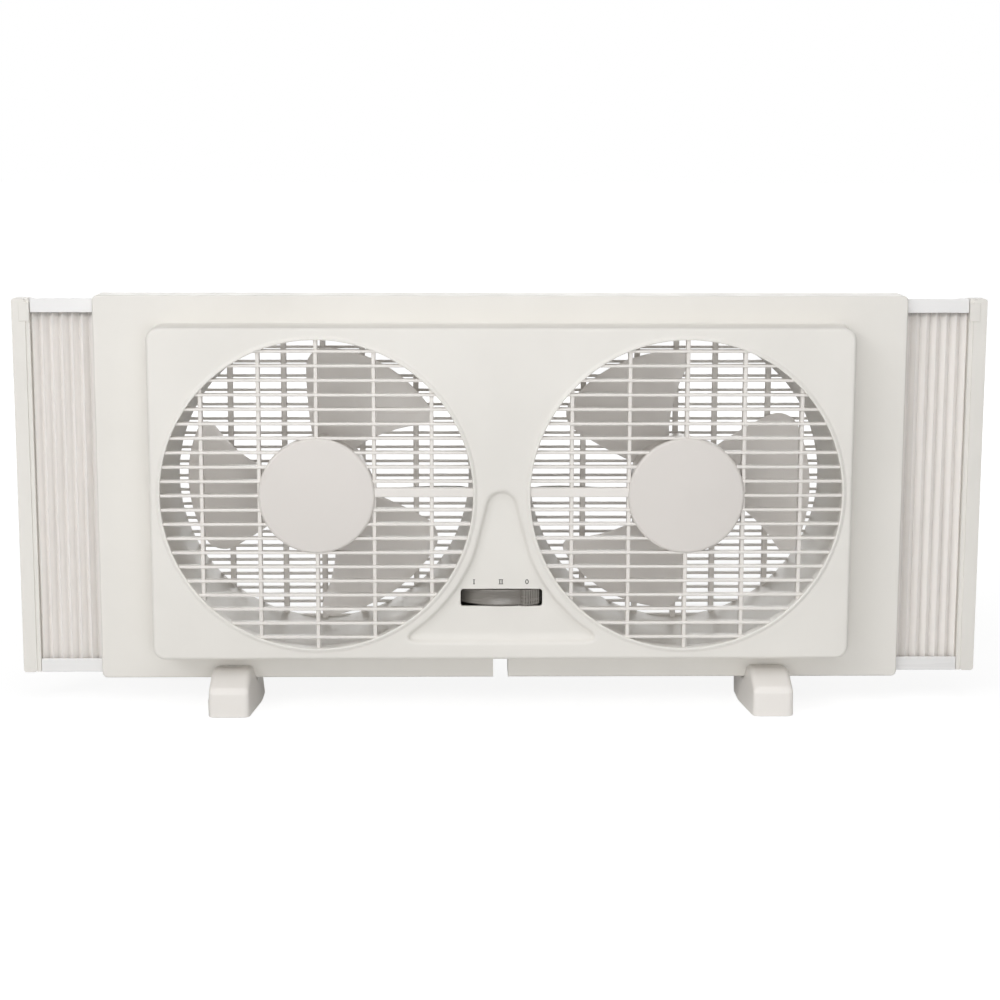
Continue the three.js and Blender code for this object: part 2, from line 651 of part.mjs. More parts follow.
function rearGrille(sign) {
  const x = sign * FAN_X;
  const collar = REAR_OPENING_RADIUS + DUCT_WALL / 2;
  const throughBars = [REAR_SPOKE_FRONT, 2 * REAR_FACE];
  const boxes = barGaps({
    radius: REAR_OPENING_RADIUS,
    pitch: LOUVRE_PITCH,
    bar: LOUVRE_HEIGHT,
    y: throughBars,
  });
  const opening = disc(REAR_OPENING_RADIUS, ...throughBars, LARGE_ROUND, x);
  const gaps = solid(boxes.translate(x, 0, 0)).intersect(opening);
  const spokeLayer = [REAR_SPOKE_FRONT, REAR_SPOKE_BACK];
  const spokeRoom = disc(collar, ...spokeLayer, LARGE_ROUND, x);
  return join(
    cut(disc(collar, LOUVRE_FRONT, REAR_FACE, LARGE_ROUND, x), gaps),
    uprightSpokes(x, REAR_SPOKES, REAR_SPOKE_WIDTH, spokeLayer, spokeRoom),
  );
}

function rearHousing() {
  const seam = GAP / 2;
  const outer = join(
    slab(roundedRect(BODY_WIDTH, BODY_HEIGHT, BODY_CORNER), seam, FLANGE_REAR, 2),
    bezelBox(CAVITY_BACK, REAR_FACE),
  );
  const hollow = join(
    flangeCavity(-WALL, CAVITY_BACK),
    bezelCavity(-WALL, REAR_FACE - WALL),
  );
  const openings = Object.values(SIDES).map((sign) =>
    disc(REAR_OPENING_RADIUS, FLANGE_REAR, 2 * REAR_FACE, LARGE_ROUND, sign * FAN_X),
  );
  const posts = BODY_SCREWS.map(([x, z]) =>
    disc(SEAT_RADIUS + POST_WALL, seam, REAR_FACE - WALL / 2, SMALL_ROUND, x, z),
  );
  const seats = BODY_SCREWS.map(([x, z]) =>
    disc(SEAT_RADIUS, BODY_SCREW_SEAT, 2 * REAR_FACE, SMALL_ROUND, x, z),
  );
  const holes = BODY_SCREWS.map(([x, z]) =>
    disc(SCREW_RADIUS + GAP, -WALL, BODY_SCREW_SEAT + WALL, SMALL_ROUND, x, z),
  );
  const inlet = disc(INLET_RADIUS + GAP, FLANGE_REAR, 2 * REAR_FACE, MEDIUM_ROUND, 0, -INLET_BELOW_AXIS);
  const built = join(
    cut(outer, hollow, ...openings),
    ...posts,
    ...flangeRibs(CAVITY_BACK, -1),
    notchSleeve(seam, FLANGE_REAR),
    ...Object.values(SIDES).map(duct),
    ...Object.values(SIDES).map(rearGrille),
  );
  return cut(built, ...seats, ...holes, inlet, notchCut(), ...panelMouths());
}

// ---------------------------------------------------------------- screws and cord inlet

// A pan-head screw along the fan axis: its head's seat is at y = 0 and its shank points to -Y.
const screw = (length) =>
  turned(
    [
      [0, -length],
      [SCREW_RADIUS, -length + SCREW_RADIUS],
      [SCREW_RADIUS, 0],
      [SCREW_HEAD_RADIUS, 0],
      [SCREW_HEAD_RADIUS - SCREW_HEAD_HEIGHT / 3, SCREW_HEAD_HEIGHT],
      [0, SCREW_HEAD_HEIGHT],
    ],
    SMALL_ROUND,
  );

function cordInlet() {
  const [y0, y1] = [REAR_FACE - INLET_LENGTH, REAR_FACE + GAP];
  const bore = MAINS_LEAD_RADIUS + 2 * GAP;
  return turned(
    [
      [bore, y0],
      [INLET_RADIUS, y0],
      [INLET_RADIUS, y1],
      [INLET_FLANGE_RADIUS, y1],
      [INLET_FLANGE_RADIUS - INLET_FLANGE_DEPTH / 2, y1 + INLET_FLANGE_DEPTH],
      [bore, y1 + INLET_FLANGE_DEPTH],
      [bore, y0],
    ],
    MEDIUM_ROUND / 2,
  );
}

// ---------------------------------------------------------------- motor

// A bell-shaped end cover whose closed end is at y = 0 and whose rim is at y = BELL_DEPTH.
function motorBell() {
  const seat = BEARING_RADIUS + GAP;
  const cupWall = seat + MOTOR_SKIN;
  return turned(
    [
      [seat, 0],
      [MOTOR_RADIUS - MOTOR_SKIN, 0],
      [MOTOR_RADIUS, MOTOR_SKIN],
      [MOTOR_RADIUS, BELL_DEPTH],
      [MOTOR_RADIUS - MOTOR_SKIN, BELL_DEPTH],
      [MOTOR_RADIUS - MOTOR_SKIN, MOTOR_SKIN],
      [cupWall, MOTOR_SKIN],
      [cupWall, BEARING_LENGTH - GAP],
      [seat, BEARING_LENGTH - GAP],
      [seat, 0],
    ],
    MEDIUM_ROUND,
  );
}

// The front bell has two ears that the motor hangs by.
function frontBell() {
  const length = 2 * (EAR_RADIUS + EAR_WIDTH / 2);
  const ears = cut(
    slab(roundedRect(EAR_WIDTH, length, EAR_WIDTH / 2 - GAP), 0, MOTOR_SKIN, 3),
    disc(MOTOR_RADIUS - 2 * MOTOR_SKIN, -WALL, WALL, MEDIUM_ROUND),
    ...[1, -1].map((up) =>
      disc(SCREW_RADIUS + GAP, -WALL, WALL, SMALL_ROUND, 0, up * EAR_RADIUS),
    ),
  );
  return join(motorBell(), ears);
}

const HALF_POLE = THREE.MathUtils.degToRad(POLE_ANGLE) / 2;

// A lamination stack with four poles, and the slots between them.
function statorCore() {
  const slotRadius = MOTOR_RADIUS - STATOR_YOKE;
  const bore = new THREE.Shape();
  for (let n = 0; n < 4; n += 1) {
    const pole = n * QUARTER;
    bore.absarc(0, 0, STATOR_BORE, pole - HALF_POLE, pole + HALF_POLE);
    bore.absarc(0, 0, slotRadius, pole + HALF_POLE, pole + QUARTER - HALF_POLE);
  }
  return cut(
    disc(MOTOR_RADIUS, STACK_FRONT, STACK_BACK, MEDIUM_ROUND),
    slab(bore, STACK_FRONT - WALL, STACK_BACK + WALL, 2),
  );
}

// The winding: a ring at each end of the stack and a leg through each slot.
function statorCoil() {
  const outer = MOTOR_RADIUS - STATOR_YOKE - 2 * GAP;
  const inner = outer - COIL_WIDTH;
  const endRing = (y0, y1) => ring(inner, outer, y0, y1, MEDIUM_ROUND);
  const halfSlot = (QUARTER - 2 * HALF_POLE) / 2 - (2 * GAP) / inner;
  const legs = [0, 1, 2, 3].map((n) => {
    const middle = (n + 0.5) * QUARTER;
    const leg = new THREE.Shape();
    leg.absarc(0, 0, outer - GAP, middle - halfSlot, middle + halfSlot);
    leg.absarc(0, 0, inner + GAP, middle + halfSlot, middle - halfSlot, true);
    return slab(leg, STACK_FRONT - 2 * GAP, STACK_BACK + 2 * GAP, 1);
  });
  return join(
    endRing(STACK_FRONT - GAP - COIL_REACH, STACK_FRONT - GAP),
    endRing(STACK_BACK + GAP, STACK_BACK + GAP + COIL_REACH),
    ...legs,
  );
}

const bearing = () =>
  ring(SHAFT_RADIUS + RUNNING, BEARING_RADIUS, 0, BEARING_LENGTH, MEDIUM_ROUND / 2);

const shaft = () =>
  turned(
    [
      [0, SHAFT_FRONT],
      [SHAFT_RADIUS - GAP, SHAFT_FRONT],
      [SHAFT_RADIUS, SHAFT_FRONT + GAP],
      [SHAFT_RADIUS, NUT_BACK + GAP],
      [SHAFT_RADIUS - GAP, NUT_BACK + 2 * GAP],
      [0, NUT_BACK + 2 * GAP],
    ],
    MEDIUM_ROUND / 2,
  );

const armature = () =>
  ring(SHAFT_RADIUS + GAP, STATOR_BORE - ROTOR_AIR_GAP, STACK_FRONT, STACK_BACK, MEDIUM_ROUND);

// ---------------------------------------------------------------- rotor

// One blade: a helical sheet whose outer corners are rounded, seen along the shaft.
function blade(turn) {
  const [spans, chords] = [4, 5];
  const root = ROTOR_HUB_RADIUS - ROTOR_HUB_WALL / 2;
  const middle = (HUB_FRONT + HUB_BACK) / 2;
  const half = THREE.MathUtils.degToRad(BLADE_SPREAD) / 2;
  const radiusOf = (i) => root + (BLADE_TIP_RADIUS - root) * Math.sin((i / spans) * QUARTER);
  const spreadOf = (radius) => {
    const into = Math.max(0, radius - (BLADE_TIP_RADIUS - BLADE_CORNER));
    const trimmed = BLADE_CORNER - Math.sqrt(BLADE_CORNER ** 2 - into ** 2);
    return half - trimmed / radius;
  };
  const positions = [];
  for (const side of [-1, 1]) {
    for (let i = 0; i <= spans; i += 1) {
      const radius = radiusOf(i);
      const spread = spreadOf(radius);
      for (let j = 0; j <= chords; j += 1) {
        const angle = spread * ((2 * j) / chords - 1);
        const lift = (BLADE_LIFT / 2) * (angle / half);
        positions.push(
          radius * Math.cos(turn + angle),
          middle + lift + (side * BLADE_THICKNESS) / 2,
          radius * Math.sin(turn + angle),
        );
      }
    }
  }
  const at = (side, i, j) => (side * (spans + 1) + i) * (chords + 1) + j;
  const index = [];
  const quad = (a, b, c, d) => index.push(a, b, c, a, c, d);
  for (let i = 0; i < spans; i += 1) {
    for (let j = 0; j < chords; j += 1) {
      quad(at(0, i, j), at(0, i + 1, j), at(0, i + 1, j + 1), at(0, i, j + 1));
      quad(at(1, i, j), at(1, i, j + 1), at(1, i + 1, j + 1), at(1, i + 1, j));
    }
    quad(at(0, i, 0), at(1, i, 0), at(1, i + 1, 0), at(0, i + 1, 0));
    quad(at(0, i + 1, chords), at(1, i + 1, chords), at(1, i, chords), at(0, i, chords));
  }
  for (let j = 0; j < chords; j += 1) {
    quad(at(0, 0, j + 1), at(1, 0, j + 1), at(1, 0, j), at(0, 0, j));
    quad(at(0, spans, j), at(1, spans, j), at(1, spans, j + 1), at(0, spans, j + 1));
  }
  const geometry = new THREE.BufferGeometry();
  geometry.setAttribute('position', new THREE.Float32BufferAttribute(positions, 3));
  geometry.setIndex(index);
  return solid(geometry);
}

function rotor() {
  const bore = SHAFT_RADIUS + GAP;
  const inside = ROTOR_HUB_RADIUS - ROTOR_HUB_WALL;
  const floor = HUB_BACK - ROTOR_HUB_WALL;
  const hub = turned(
    [
      [bore, HUB_FRONT + ROTOR_HUB_LENGTH / 3],
      [ROTOR_BOSS_RADIUS, HUB_FRONT + ROTOR_HUB_LENGTH / 3],
      [ROTOR_BOSS_RADIUS, floor],
      [inside, floor],
      [inside, HUB_FRONT],
      [ROTOR_HUB_RADIUS, HUB_FRONT],
      [ROTOR_HUB_RADIUS, HUB_BACK - ROTOR_HUB_WALL],
      [ROTOR_HUB_RADIUS - ROTOR_HUB_WALL, HUB_BACK],
      [bore, HUB_BACK],
      [bore, HUB_FRONT + ROTOR_HUB_LENGTH / 3],
    ],
    MEDIUM_ROUND,
  );
  const blades = Array.from({ length: BLADES }, (_, n) => blade((n * 2 * Math.PI) / BLADES));
  return join(hub, ...blades);
}

const rotorNut = () =>
  cut(
    disc(NUT_RADIUS, HUB_BACK + GAP, NUT_BACK, NUT_SIDES),
    disc(SHAFT_RADIUS + GAP, HUB_BACK, NUT_BACK + GAP, MEDIUM_ROUND / 2),
  );

// ---------------------------------------------------------------- dial and switch

// The dial is an upside-down cup. Its ribbed tab points to the front before it is turned.
function speedDial() {
  const [low, high] = [-DIAL_HEIGHT / 2, DIAL_HEIGHT / 2];
  const bore = SPINDLE_RADIUS + GAP;
  const boss = bore + DIAL_WEB;
  const inside = DIAL_RADIUS - DIAL_WEB;
  const cup = spun(
    [
      [bore, low],
      [boss, low],
      [boss, high - DIAL_WEB],
      [inside, high - DIAL_WEB],
      [inside, low],
      [DIAL_RADIUS, low],
      [DIAL_RADIUS, high],
      [bore, high],
      [bore, low],
    ],
    DIAL_ROUND,
  );
  const front = -DIAL_RADIUS - TAB_REACH;
  const tab = block([-TAB_WIDTH / 2, TAB_WIDTH / 2], [front, -inside - GAP], [low, high]);
  const pitch = TAB_WIDTH / TAB_RIBS;
  const grooves = Array.from({ length: TAB_RIBS - 1 }, (_, n) => {
    const x = -TAB_WIDTH / 2 + (n + 1) * pitch;
    const across = [x - pitch / 4, x + pitch / 4];
    return block(across, [front - WALL, front + TAB_RIB_DEPTH], [low - WALL, high + WALL]);
  });
  return join(cup, cut(tab, ...grooves));
}

const spindle = () =>
  spun(
    [
      [0, SWITCH_TOP - SPINDLE_DEPTH + GAP],
      [SPINDLE_RADIUS, SWITCH_TOP - SPINDLE_DEPTH + GAP],
      [SPINDLE_RADIUS, DIAL_Z + DIAL_HEIGHT / 2 - GAP],
      [0, DIAL_Z + DIAL_HEIGHT / 2 - GAP],
    ],
    MEDIUM_ROUND / 2,
  );

function switchBody() {
  const half = SWITCH_WIDTH / 2;
  const body = block([-half, half], [-SWITCH_DEPTH / 2, SWITCH_DEPTH / 2], [SWITCH_BOTTOM, SWITCH_TOP]);
  const well = SPINDLE_RADIUS + RUNNING;
  const wellFloor = SWITCH_TOP - SPINDLE_DEPTH;
  const bore = spun([[0, wellFloor], [well, wellFloor], [well, 0], [0, 0]], MEDIUM_ROUND / 2);
  const screwTop = SHELF_BOTTOM - GAP + SMALL_SCREW_LENGTH + GAP;
  const screwRadius = SCREW_RADIUS + GAP;
  const holes = [1, -1].map((side) =>
    spun(
      [[0, SHELF_BOTTOM], [screwRadius, SHELF_BOTTOM], [screwRadius, screwTop], [0, screwTop]],
      SMALL_ROUND,
      side * SWITCH_SCREW_X,
      SWITCH_DEPTH / 4,
    ),
  );
  return cut(body, bore, ...holes);
}

// ---------------------------------------------------------------- leads

function lead(points, radius, steps) {
  const path = new THREE.CatmullRomCurve3(points.map((p) => new THREE.Vector3(...p)));
  const section = new THREE.Shape();
  section.absarc(0, 0, radius, 0, 2 * Math.PI);
  const options = { steps, extrudePath: path, curveSegments: 3, bevelEnabled: false };
  return solid(new THREE.ExtrudeGeometry(section, options));
}

// From the motor's side, behind the lead cover and behind the dial, to the switch's back.
function motorLead(sign) {
  const behindDial = (DIAL_Y + DIAL_RADIUS + REAR_FACE - WALL) / 2;
  const x = sign * SWITCH_SCREW_X;
  const bellSide = FAN_X - MOTOR_RADIUS - GAP;
  return lead(
    [
      [sign * bellSide, LEAD_Y, LEAD_Z],
      [sign * (FAN_X - CAP_RADIUS - WALL), LEAD_Y, LEAD_Z],
      [sign * (FAN_X - DUCT_OUTER), LEAD_Y, LEAD_Z],
      [x, LEAD_Y + 3 * WALL, LEAD_Z - BAR_PITCH],
      [x, behindDial - DIAL_RADIUS / 2, DIAL_Z / 2],
      [x, behindDial, DIAL_Z],
      [x, (behindDial + SWITCH_BACK) / 2 + WALL, SWITCH_MIDDLE],
      [x, SWITCH_BACK + WALL, SWITCH_MIDDLE],
      [x, SWITCH_BACK, SWITCH_MIDDLE],
    ],
    LEAD_RADIUS,
    20,
  );
}

function mainsLead() {
  return lead(
    [
      [0, REAR_FACE + INLET_FLANGE_DEPTH, -INLET_BELOW_AXIS],
      [0, REAR_FACE - INLET_LENGTH, -INLET_BELOW_AXIS],
      [0, (SWITCH_BACK + REAR_FACE - INLET_LENGTH) / 2, (SWITCH_MIDDLE - INLET_BELOW_AXIS) / 2],
      [0, SWITCH_BACK + WALL, SWITCH_MIDDLE],
      [0, SWITCH_BACK, SWITCH_MIDDLE],
    ],
    MAINS_LEAD_RADIUS,
    8,
  );
}

// ---------------------------------------------------------------- side panels

// The outer bar: a broad strip, a lower lip beside the pleats and a clip at its upper corner.
function endBar(sign) {
  const [front, back] = [-END_BAR_DEPTH / 2, END_BAR_DEPTH / 2];
  const stripInner = PANEL_OUTER - END_BAR_WIDTH + END_BAR_LIP;
  const strip = slab(
    roundedRect(
      PANEL_OUTER - stripInner,
      PANEL_HEIGHT,
      BODY_CORNER / 2,
      (sign * (PANEL_OUTER + stripInner)) / 2,
    ),
    front,
    back,
    2,
  );
  const lip = block(
    mirrored(sign, BAR_INNER, stripInner + GAP),
    [front + END_BAR_LIP_DROP, back - END_BAR_LIP_DROP],
    [-TRACK_TOP, TRACK_TOP],
  );
  const clip = block(
    mirrored(sign, BAR_INNER, BAR_INNER + CLIP_WIDTH),
    [front - CLIP_RISE, front + 2 * END_BAR_LIP_DROP],
    [TRACK_TOP - CLIP_HEIGHT - CLIP_BELOW_TOP, TRACK_TOP - CLIP_BELOW_TOP],
  );
  return join(strip, lip, clip);
}

// A track is a channel that opens towards the pleats. up is 1 for the top track.
function track(sign, up) {
  const x = mirrored(sign, TRACK_INNER, BAR_INNER - GAP);
  const half = TRACK_DEPTH / 2;
  const groove = half - TRACK_SKIN;
  return cut(
    block(x, [-half, half], mirrored(up, TRACK_BOTTOM, TRACK_TOP)),
    block(
      [x[0] - WALL, x[1] + WALL],
      [-groove, groove],
      mirrored(up, TRACK_BOTTOM - WALL, PLEAT_TOP + TRACK_SKIN),
    ),
  );
}

// A zigzag sheet from the anchor strip to the end bar, extruded upright.
function accordion(sign) {
  const [x0, x1] = [ANCHOR_OUTER + 2 * GAP, BAR_INNER - GAP];
  const pitch = (x1 - x0) / PLEATS;
  const swing = (PLEAT_DEPTH - PLEAT_THICKNESS) / 2;
  const side = (shift) =>
    Array.from({ length: 2 * PLEATS + 1 }, (_, n) => [
      sign * (x0 + (n * pitch) / 2),
      (n % 2 ? -swing : swing) + shift,
    ]);
  const half = (PLEAT_THICKNESS * Math.hypot(pitch / 2, 2 * swing)) / pitch;
  const outline = [...side(-half), ...side(half).reverse()];
  const shape = new THREE.Shape(outline.map(([x, y]) => new THREE.Vector2(x, y)));
  const geometry = new THREE.ExtrudeGeometry(shape, { depth: 2 * PLEAT_TOP, bevelEnabled: false });
  return solid(geometry.translate(0, 0, -PLEAT_TOP));
}

// The strip inside the flange that the pleats' inner end is fixed to.
const anchorStrip = (sign) =>
  block(
    mirrored(sign, ANCHOR_INNER, ANCHOR_OUTER),
    [CAVITY_FRONT + GAP, CAVITY_BACK - GAP],
    [-BEZEL_HEIGHT / 2, BEZEL_HEIGHT / 2],
  );

// ---------------------------------------------------------------- feet

// A foot is a long block, wider in the middle, whose two arms grip the body's lower edge.
function foot() {
  const [end, middle] = [FOOT_LENGTH / 2, FOOT_MIDDLE_LENGTH / 2];
  const [narrow, wide] = [FOOT_END_WIDTH / 2, FOOT_MIDDLE_WIDTH / 2];
  const corner = FOOT_CORNER;
  const plan = new THREE.Shape();
  plan.moveTo(-narrow + corner, -end);
  plan.lineTo(narrow - corner, -end);
  plan.quadraticCurveTo(narrow, -end, narrow, -end + corner);
  plan.lineTo(wide, -middle);
  plan.lineTo(wide, middle);
  plan.lineTo(narrow, end - corner);
  plan.quadraticCurveTo(narrow, end, narrow - corner, end);
  plan.lineTo(-narrow + corner, end);
  plan.quadraticCurveTo(-narrow, end, -narrow, end - corner);
  plan.lineTo(-wide, middle);
  plan.lineTo(-wide, -middle);
  plan.lineTo(-narrow, -end + corner);
  plan.quadraticCurveTo(-narrow, -end, -narrow + corner, -end);
  const planOptions = { depth: FOOT_ARM_HEIGHT, bevelEnabled: false, curveSegments: 3 };
  const upright = solid(new THREE.ExtrudeGeometry(plan, planOptions));

  const grip = BODY_DEPTH / 2 + GAP;
  const seat = FOOT_DROP - GAP;
  const edge = FOOT_CORNER / 2;
  const side = new THREE.Shape();
  side.moveTo(-end, 0);
  side.lineTo(end, 0);
  side.lineTo(end, FOOT_END_HEIGHT - edge);
  side.quadraticCurveTo(end, FOOT_END_HEIGHT, end - edge, FOOT_END_HEIGHT);
  side.lineTo(grip, FOOT_ARM_HEIGHT);
  side.lineTo(grip, seat);
  side.lineTo(-grip, seat);
  side.lineTo(-grip, FOOT_ARM_HEIGHT);
  side.lineTo(-end + edge, FOOT_END_HEIGHT);
  side.quadraticCurveTo(-end, FOOT_END_HEIGHT, -end, FOOT_END_HEIGHT - edge);
  const sideOptions = { depth: 2 * FOOT_MIDDLE_WIDTH, bevelEnabled: false, curveSegments: 2 };
  const across = new THREE.ExtrudeGeometry(side, sideOptions);
  // The side outline is drawn in Y and Z, so it is stood up and turned to run along X.
  across.translate(0, 0, -FOOT_MIDDLE_WIDTH).rotateX(QUARTER).rotateZ(QUARTER);
  return upright.intersect(solid(across));
}

// ---------------------------------------------------------------- assembly

function mesh(name, body, material, [x, y, z] = [0, 0, 0]) {
  const piece = new THREE.Mesh(geometryOf(body), material);
  piece.name = name;
  piece.position.set(x, y, z);
  return piece;
}

// The motor and rotor of one side, drawn about the fan axis.
function fanUnit(side) {
  const unit = new THREE.Group();
  const rearBell = mesh(`motor_rear_bell_${side}`, motorBell(), STEEL, [0, MOTOR_BACK, 0]);
  rearBell.rotation.x = Math.PI;
  unit.add(
    mesh(`motor_front_bell_${side}`, frontBell(), STEEL, [0, MOTOR_FRONT, 0]),
    rearBell,
    mesh(`stator_core_${side}`, statorCore(), LAMINATION),
    mesh(`stator_coil_${side}`, statorCoil(), COPPER),
    mesh(`front_bearing_${side}`, bearing(), BRONZE, [0, MOTOR_FRONT, 0]),
    mesh(`rear_bearing_${side}`, bearing(), BRONZE, [0, MOTOR_BACK - BEARING_LENGTH, 0]),
  );
  for (const [n, up] of [[1, 1], [2, -1]]) {
    const seat = [0, MOTOR_FRONT + MOTOR_SKIN + GAP, up * EAR_RADIUS];
    unit.add(mesh(`motor_screw_${side}_${n}`, screw(SMALL_SCREW_LENGTH), STEEL, seat));
  }
  const spinning = new THREE.Group();
  spinning.add(
    mesh(`motor_shaft_${side}`, shaft(), STEEL),
    mesh(`armature_${side}`, armature(), LAMINATION),
    mesh(`rotor_${side}`, rotor(), BLADE),
    mesh(`rotor_nut_${side}`, rotorNut(), STEEL),
  );
  const turn = LEFT_ROTOR_TURN + (side === 'right' ? 180 : 0);
  spinning.rotation.y = -THREE.MathUtils.degToRad(turn);
  unit.add(spinning);
  unit.position.x = SIDES[side] * FAN_X;
  return unit;
}

function controls() {
  const group = new THREE.Group();
  const dial = mesh('speed_dial', speedDial(), DIAL, [0, 0, DIAL_Z]);
  dial.rotation.z = THREE.MathUtils.degToRad(DIAL_STEP);
  group.add(
    dial,
    mesh('switch_spindle', spindle(), STEEL),
    mesh('switch_body', switchBody(), SWITCH),
  );
  for (const [n, side] of [[1, -1], [2, 1]]) {
    const seat = [side * SWITCH_SCREW_X, SWITCH_DEPTH / 4, SHELF_BOTTOM - GAP];
    const piece = mesh(`switch_screw_${n}`, screw(SMALL_SCREW_LENGTH), STEEL, seat);
    piece.rotation.x = -QUARTER;
    group.add(piece);
  }
  group.position.y = DIAL_Y;
  return group;
}

function sidePanel(side) {
  const sign = SIDES[side];
  const group = new THREE.Group();
  group.add(
    mesh(`end_bar_${side}`, endBar(sign), SHELL),
    mesh(`track_top_${side}`, track(sign, 1), TRACK),
    mesh(`track_bottom_${side}`, track(sign, -1), TRACK),
    mesh(`accordion_${side}`, accordion(sign), PLEAT),
    mesh(`anchor_strip_${side}`, anchorStrip(sign), SHELL),
  );
  return group;
}

const body = new THREE.Group();
body.add(mesh('front_housing', frontHousing(), SHELL), mesh('rear_housing', rearHousing(), SHELL));
BODY_SCREWS.forEach(([x, z], n) => {
  const seat = [x, BODY_SCREW_SEAT + GAP, z];
  body.add(mesh(`housing_screw_${n + 1}`, screw(BODY_SCREW_LENGTH), STEEL, seat));
});
body.add(
  mesh('cord_inlet', cordInlet(), INLET, [0, 0, -INLET_BELOW_AXIS]),
  mesh('mains_lead', mainsLead(), LEAD),
  controls(),
);
for (const side of Object.keys(SIDES)) {
  body.add(fanUnit(side), sidePanel(side));
  body.add(mesh(`motor_lead_${side}`, motorLead(SIDES[side]), LEAD));
}
body.position.z = AXIS_Z;

const windowFan = new THREE.Group();
windowFan.add(body);
for (const side of Object.keys(SIDES)) {
  windowFan.add(mesh(`foot_${side}`, foot(), SHELL, [SIDES[side] * FOOT_X, 0, 0]));
}

export default windowFan;
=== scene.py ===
"""Looks of the window fan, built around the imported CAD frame. Sizes are millimetres in the code
and metres in Blender; X runs along the fan, the front faces -Y and Z is up."""

import json
import math

import bmesh
import bpy
import numpy as np
from mathutils import Matrix, Vector
from mathutils.geometry import delaunay_2d_cdt

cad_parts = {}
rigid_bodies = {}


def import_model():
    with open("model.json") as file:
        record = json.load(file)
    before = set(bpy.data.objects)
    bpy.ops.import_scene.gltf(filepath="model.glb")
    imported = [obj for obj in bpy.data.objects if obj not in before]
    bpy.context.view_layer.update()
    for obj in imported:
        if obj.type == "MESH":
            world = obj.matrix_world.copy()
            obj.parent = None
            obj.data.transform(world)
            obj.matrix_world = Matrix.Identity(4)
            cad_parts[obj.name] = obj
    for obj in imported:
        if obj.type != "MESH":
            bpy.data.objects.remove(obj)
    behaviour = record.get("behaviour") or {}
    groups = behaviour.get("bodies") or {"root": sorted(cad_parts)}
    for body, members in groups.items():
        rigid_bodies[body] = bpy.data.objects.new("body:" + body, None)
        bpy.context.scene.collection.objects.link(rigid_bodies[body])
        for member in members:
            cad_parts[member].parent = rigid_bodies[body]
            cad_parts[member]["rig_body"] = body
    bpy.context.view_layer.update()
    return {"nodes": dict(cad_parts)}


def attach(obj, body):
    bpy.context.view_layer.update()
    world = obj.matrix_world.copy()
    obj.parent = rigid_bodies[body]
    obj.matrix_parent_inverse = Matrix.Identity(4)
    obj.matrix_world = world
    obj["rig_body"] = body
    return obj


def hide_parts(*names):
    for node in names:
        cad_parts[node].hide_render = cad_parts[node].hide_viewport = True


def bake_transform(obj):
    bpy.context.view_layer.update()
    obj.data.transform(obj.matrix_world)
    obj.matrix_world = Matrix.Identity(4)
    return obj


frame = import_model()
MM = 0.001

# ------------------------------------------------------------------ sizes, as in the CAD source
AXIS_Z = 163.0
BODY_W, BODY_H, BODY_CORNER = 600.0, 288.0, 4.0
FLANGE_Y = 14.0
SEAM, SEAM_EDGE = 0.15, 0.4
WALL = 2.4
FLANGE_EDGE = 1.4
MOUTH_HALF_DEPTH, MOUTH_HALF_HEIGHT, MOUTH_CUT = 7.0, 141.5, 3.0
BEZEL_W, BEZEL_H, BEZEL_CORNER = 516.0, 247.0, 10.0
FRONT_Y, REAR_Y = -44.0, 54.0
NOTCH_HALF, NOTCH_TOP = 5.65, -125.2
FAN_X = 135.3
OPEN_R, REAR_OPEN_R = 114.3, 111.5
RIM_W, RIM_RISE, RIM_FOOT = 3.0, 1.05, 0.9
CAP_R, CAP_FRONT = 42.7, -45.0
BAR_PITCH, BAR_H, BAR_FRONT, BAR_BACK = 10.6, 2.2, -43.4, -37.0
SPOKE_PITCH, SPOKE_W, SPOKE_FRONT, SPOKE_BACK = 42.0, 2.9, -42.0, -34.3
COVER_HIGH = 5.7  # top edge of the covered middle bar
BAR_SINK, CAP_SINK = 1.2, 1.0  # how far bars run into the ring and the hub cap
LOUVRE_PITCH, LOUVRE_H, LOUVRE_FRONT = 11.05, 2.0, 49.5
REAR_SPOKES, REAR_SPOKE_W, REAR_SPOKE_FRONT = (-71, -30, 0, 30, 71), 4.2, 46.8
DUCT_FRONT, DUCT_WALL = -34.0, 2.0
RECESS_Y = -40.0
SLOT_W, SLOT_H, SLOT_Z = 60.3, 13.0, -76.8
SCREWS = [(-238, 104), (238, 104), (-238, -104), (238, -104), (0, 108), (0, -118)]
WELL_R, WELL_FLOOR, WELL_LIP, SCREW_HOLE_R = 3.5, 8.0, 0.6, 1.9
INLET_R, INLET_Z = 7.3, -98.0
FOOT_X = 200.7
DIAL_Y, DIAL_R = -1.5, 40.0
MARK_Z, MARK_PROUD, MARK_DEEP = -64.9, 0.08, 0.2
ROUND = 160

SIDES = ((-1, "left"), (1, "right"))
FAN_CENTRES = [sign * FAN_X for sign, _ in SIDES]

# ------------------------------------------------------------------ outlines in X and Z


def arc(cx, cy, r, a0, a1, n):
    t = np.radians(np.linspace(a0, a1, n))
    return [(cx + r * math.cos(a), cy + r * math.sin(a)) for a in t]


def rounded(w, h, r, n=10, x=0.0, z=0.0):
    w, h = w / 2, h / 2
    out = []
    corners = ((w - r, r - h, -90), (w - r, h - r, 0), (r - w, h - r, 90), (r - w, r - h, 180))
    for cx, cz, a in corners:
        out += arc(x + cx, z + cz, r, a, a + 90, n)
    return np.array(out)


def circle(cx, cz, r, n=ROUND):
    return np.array([(cx + r * math.cos(a), cz + r * math.sin(a))
                     for a in np.linspace(0, 2 * math.pi, n, endpoint=False)])


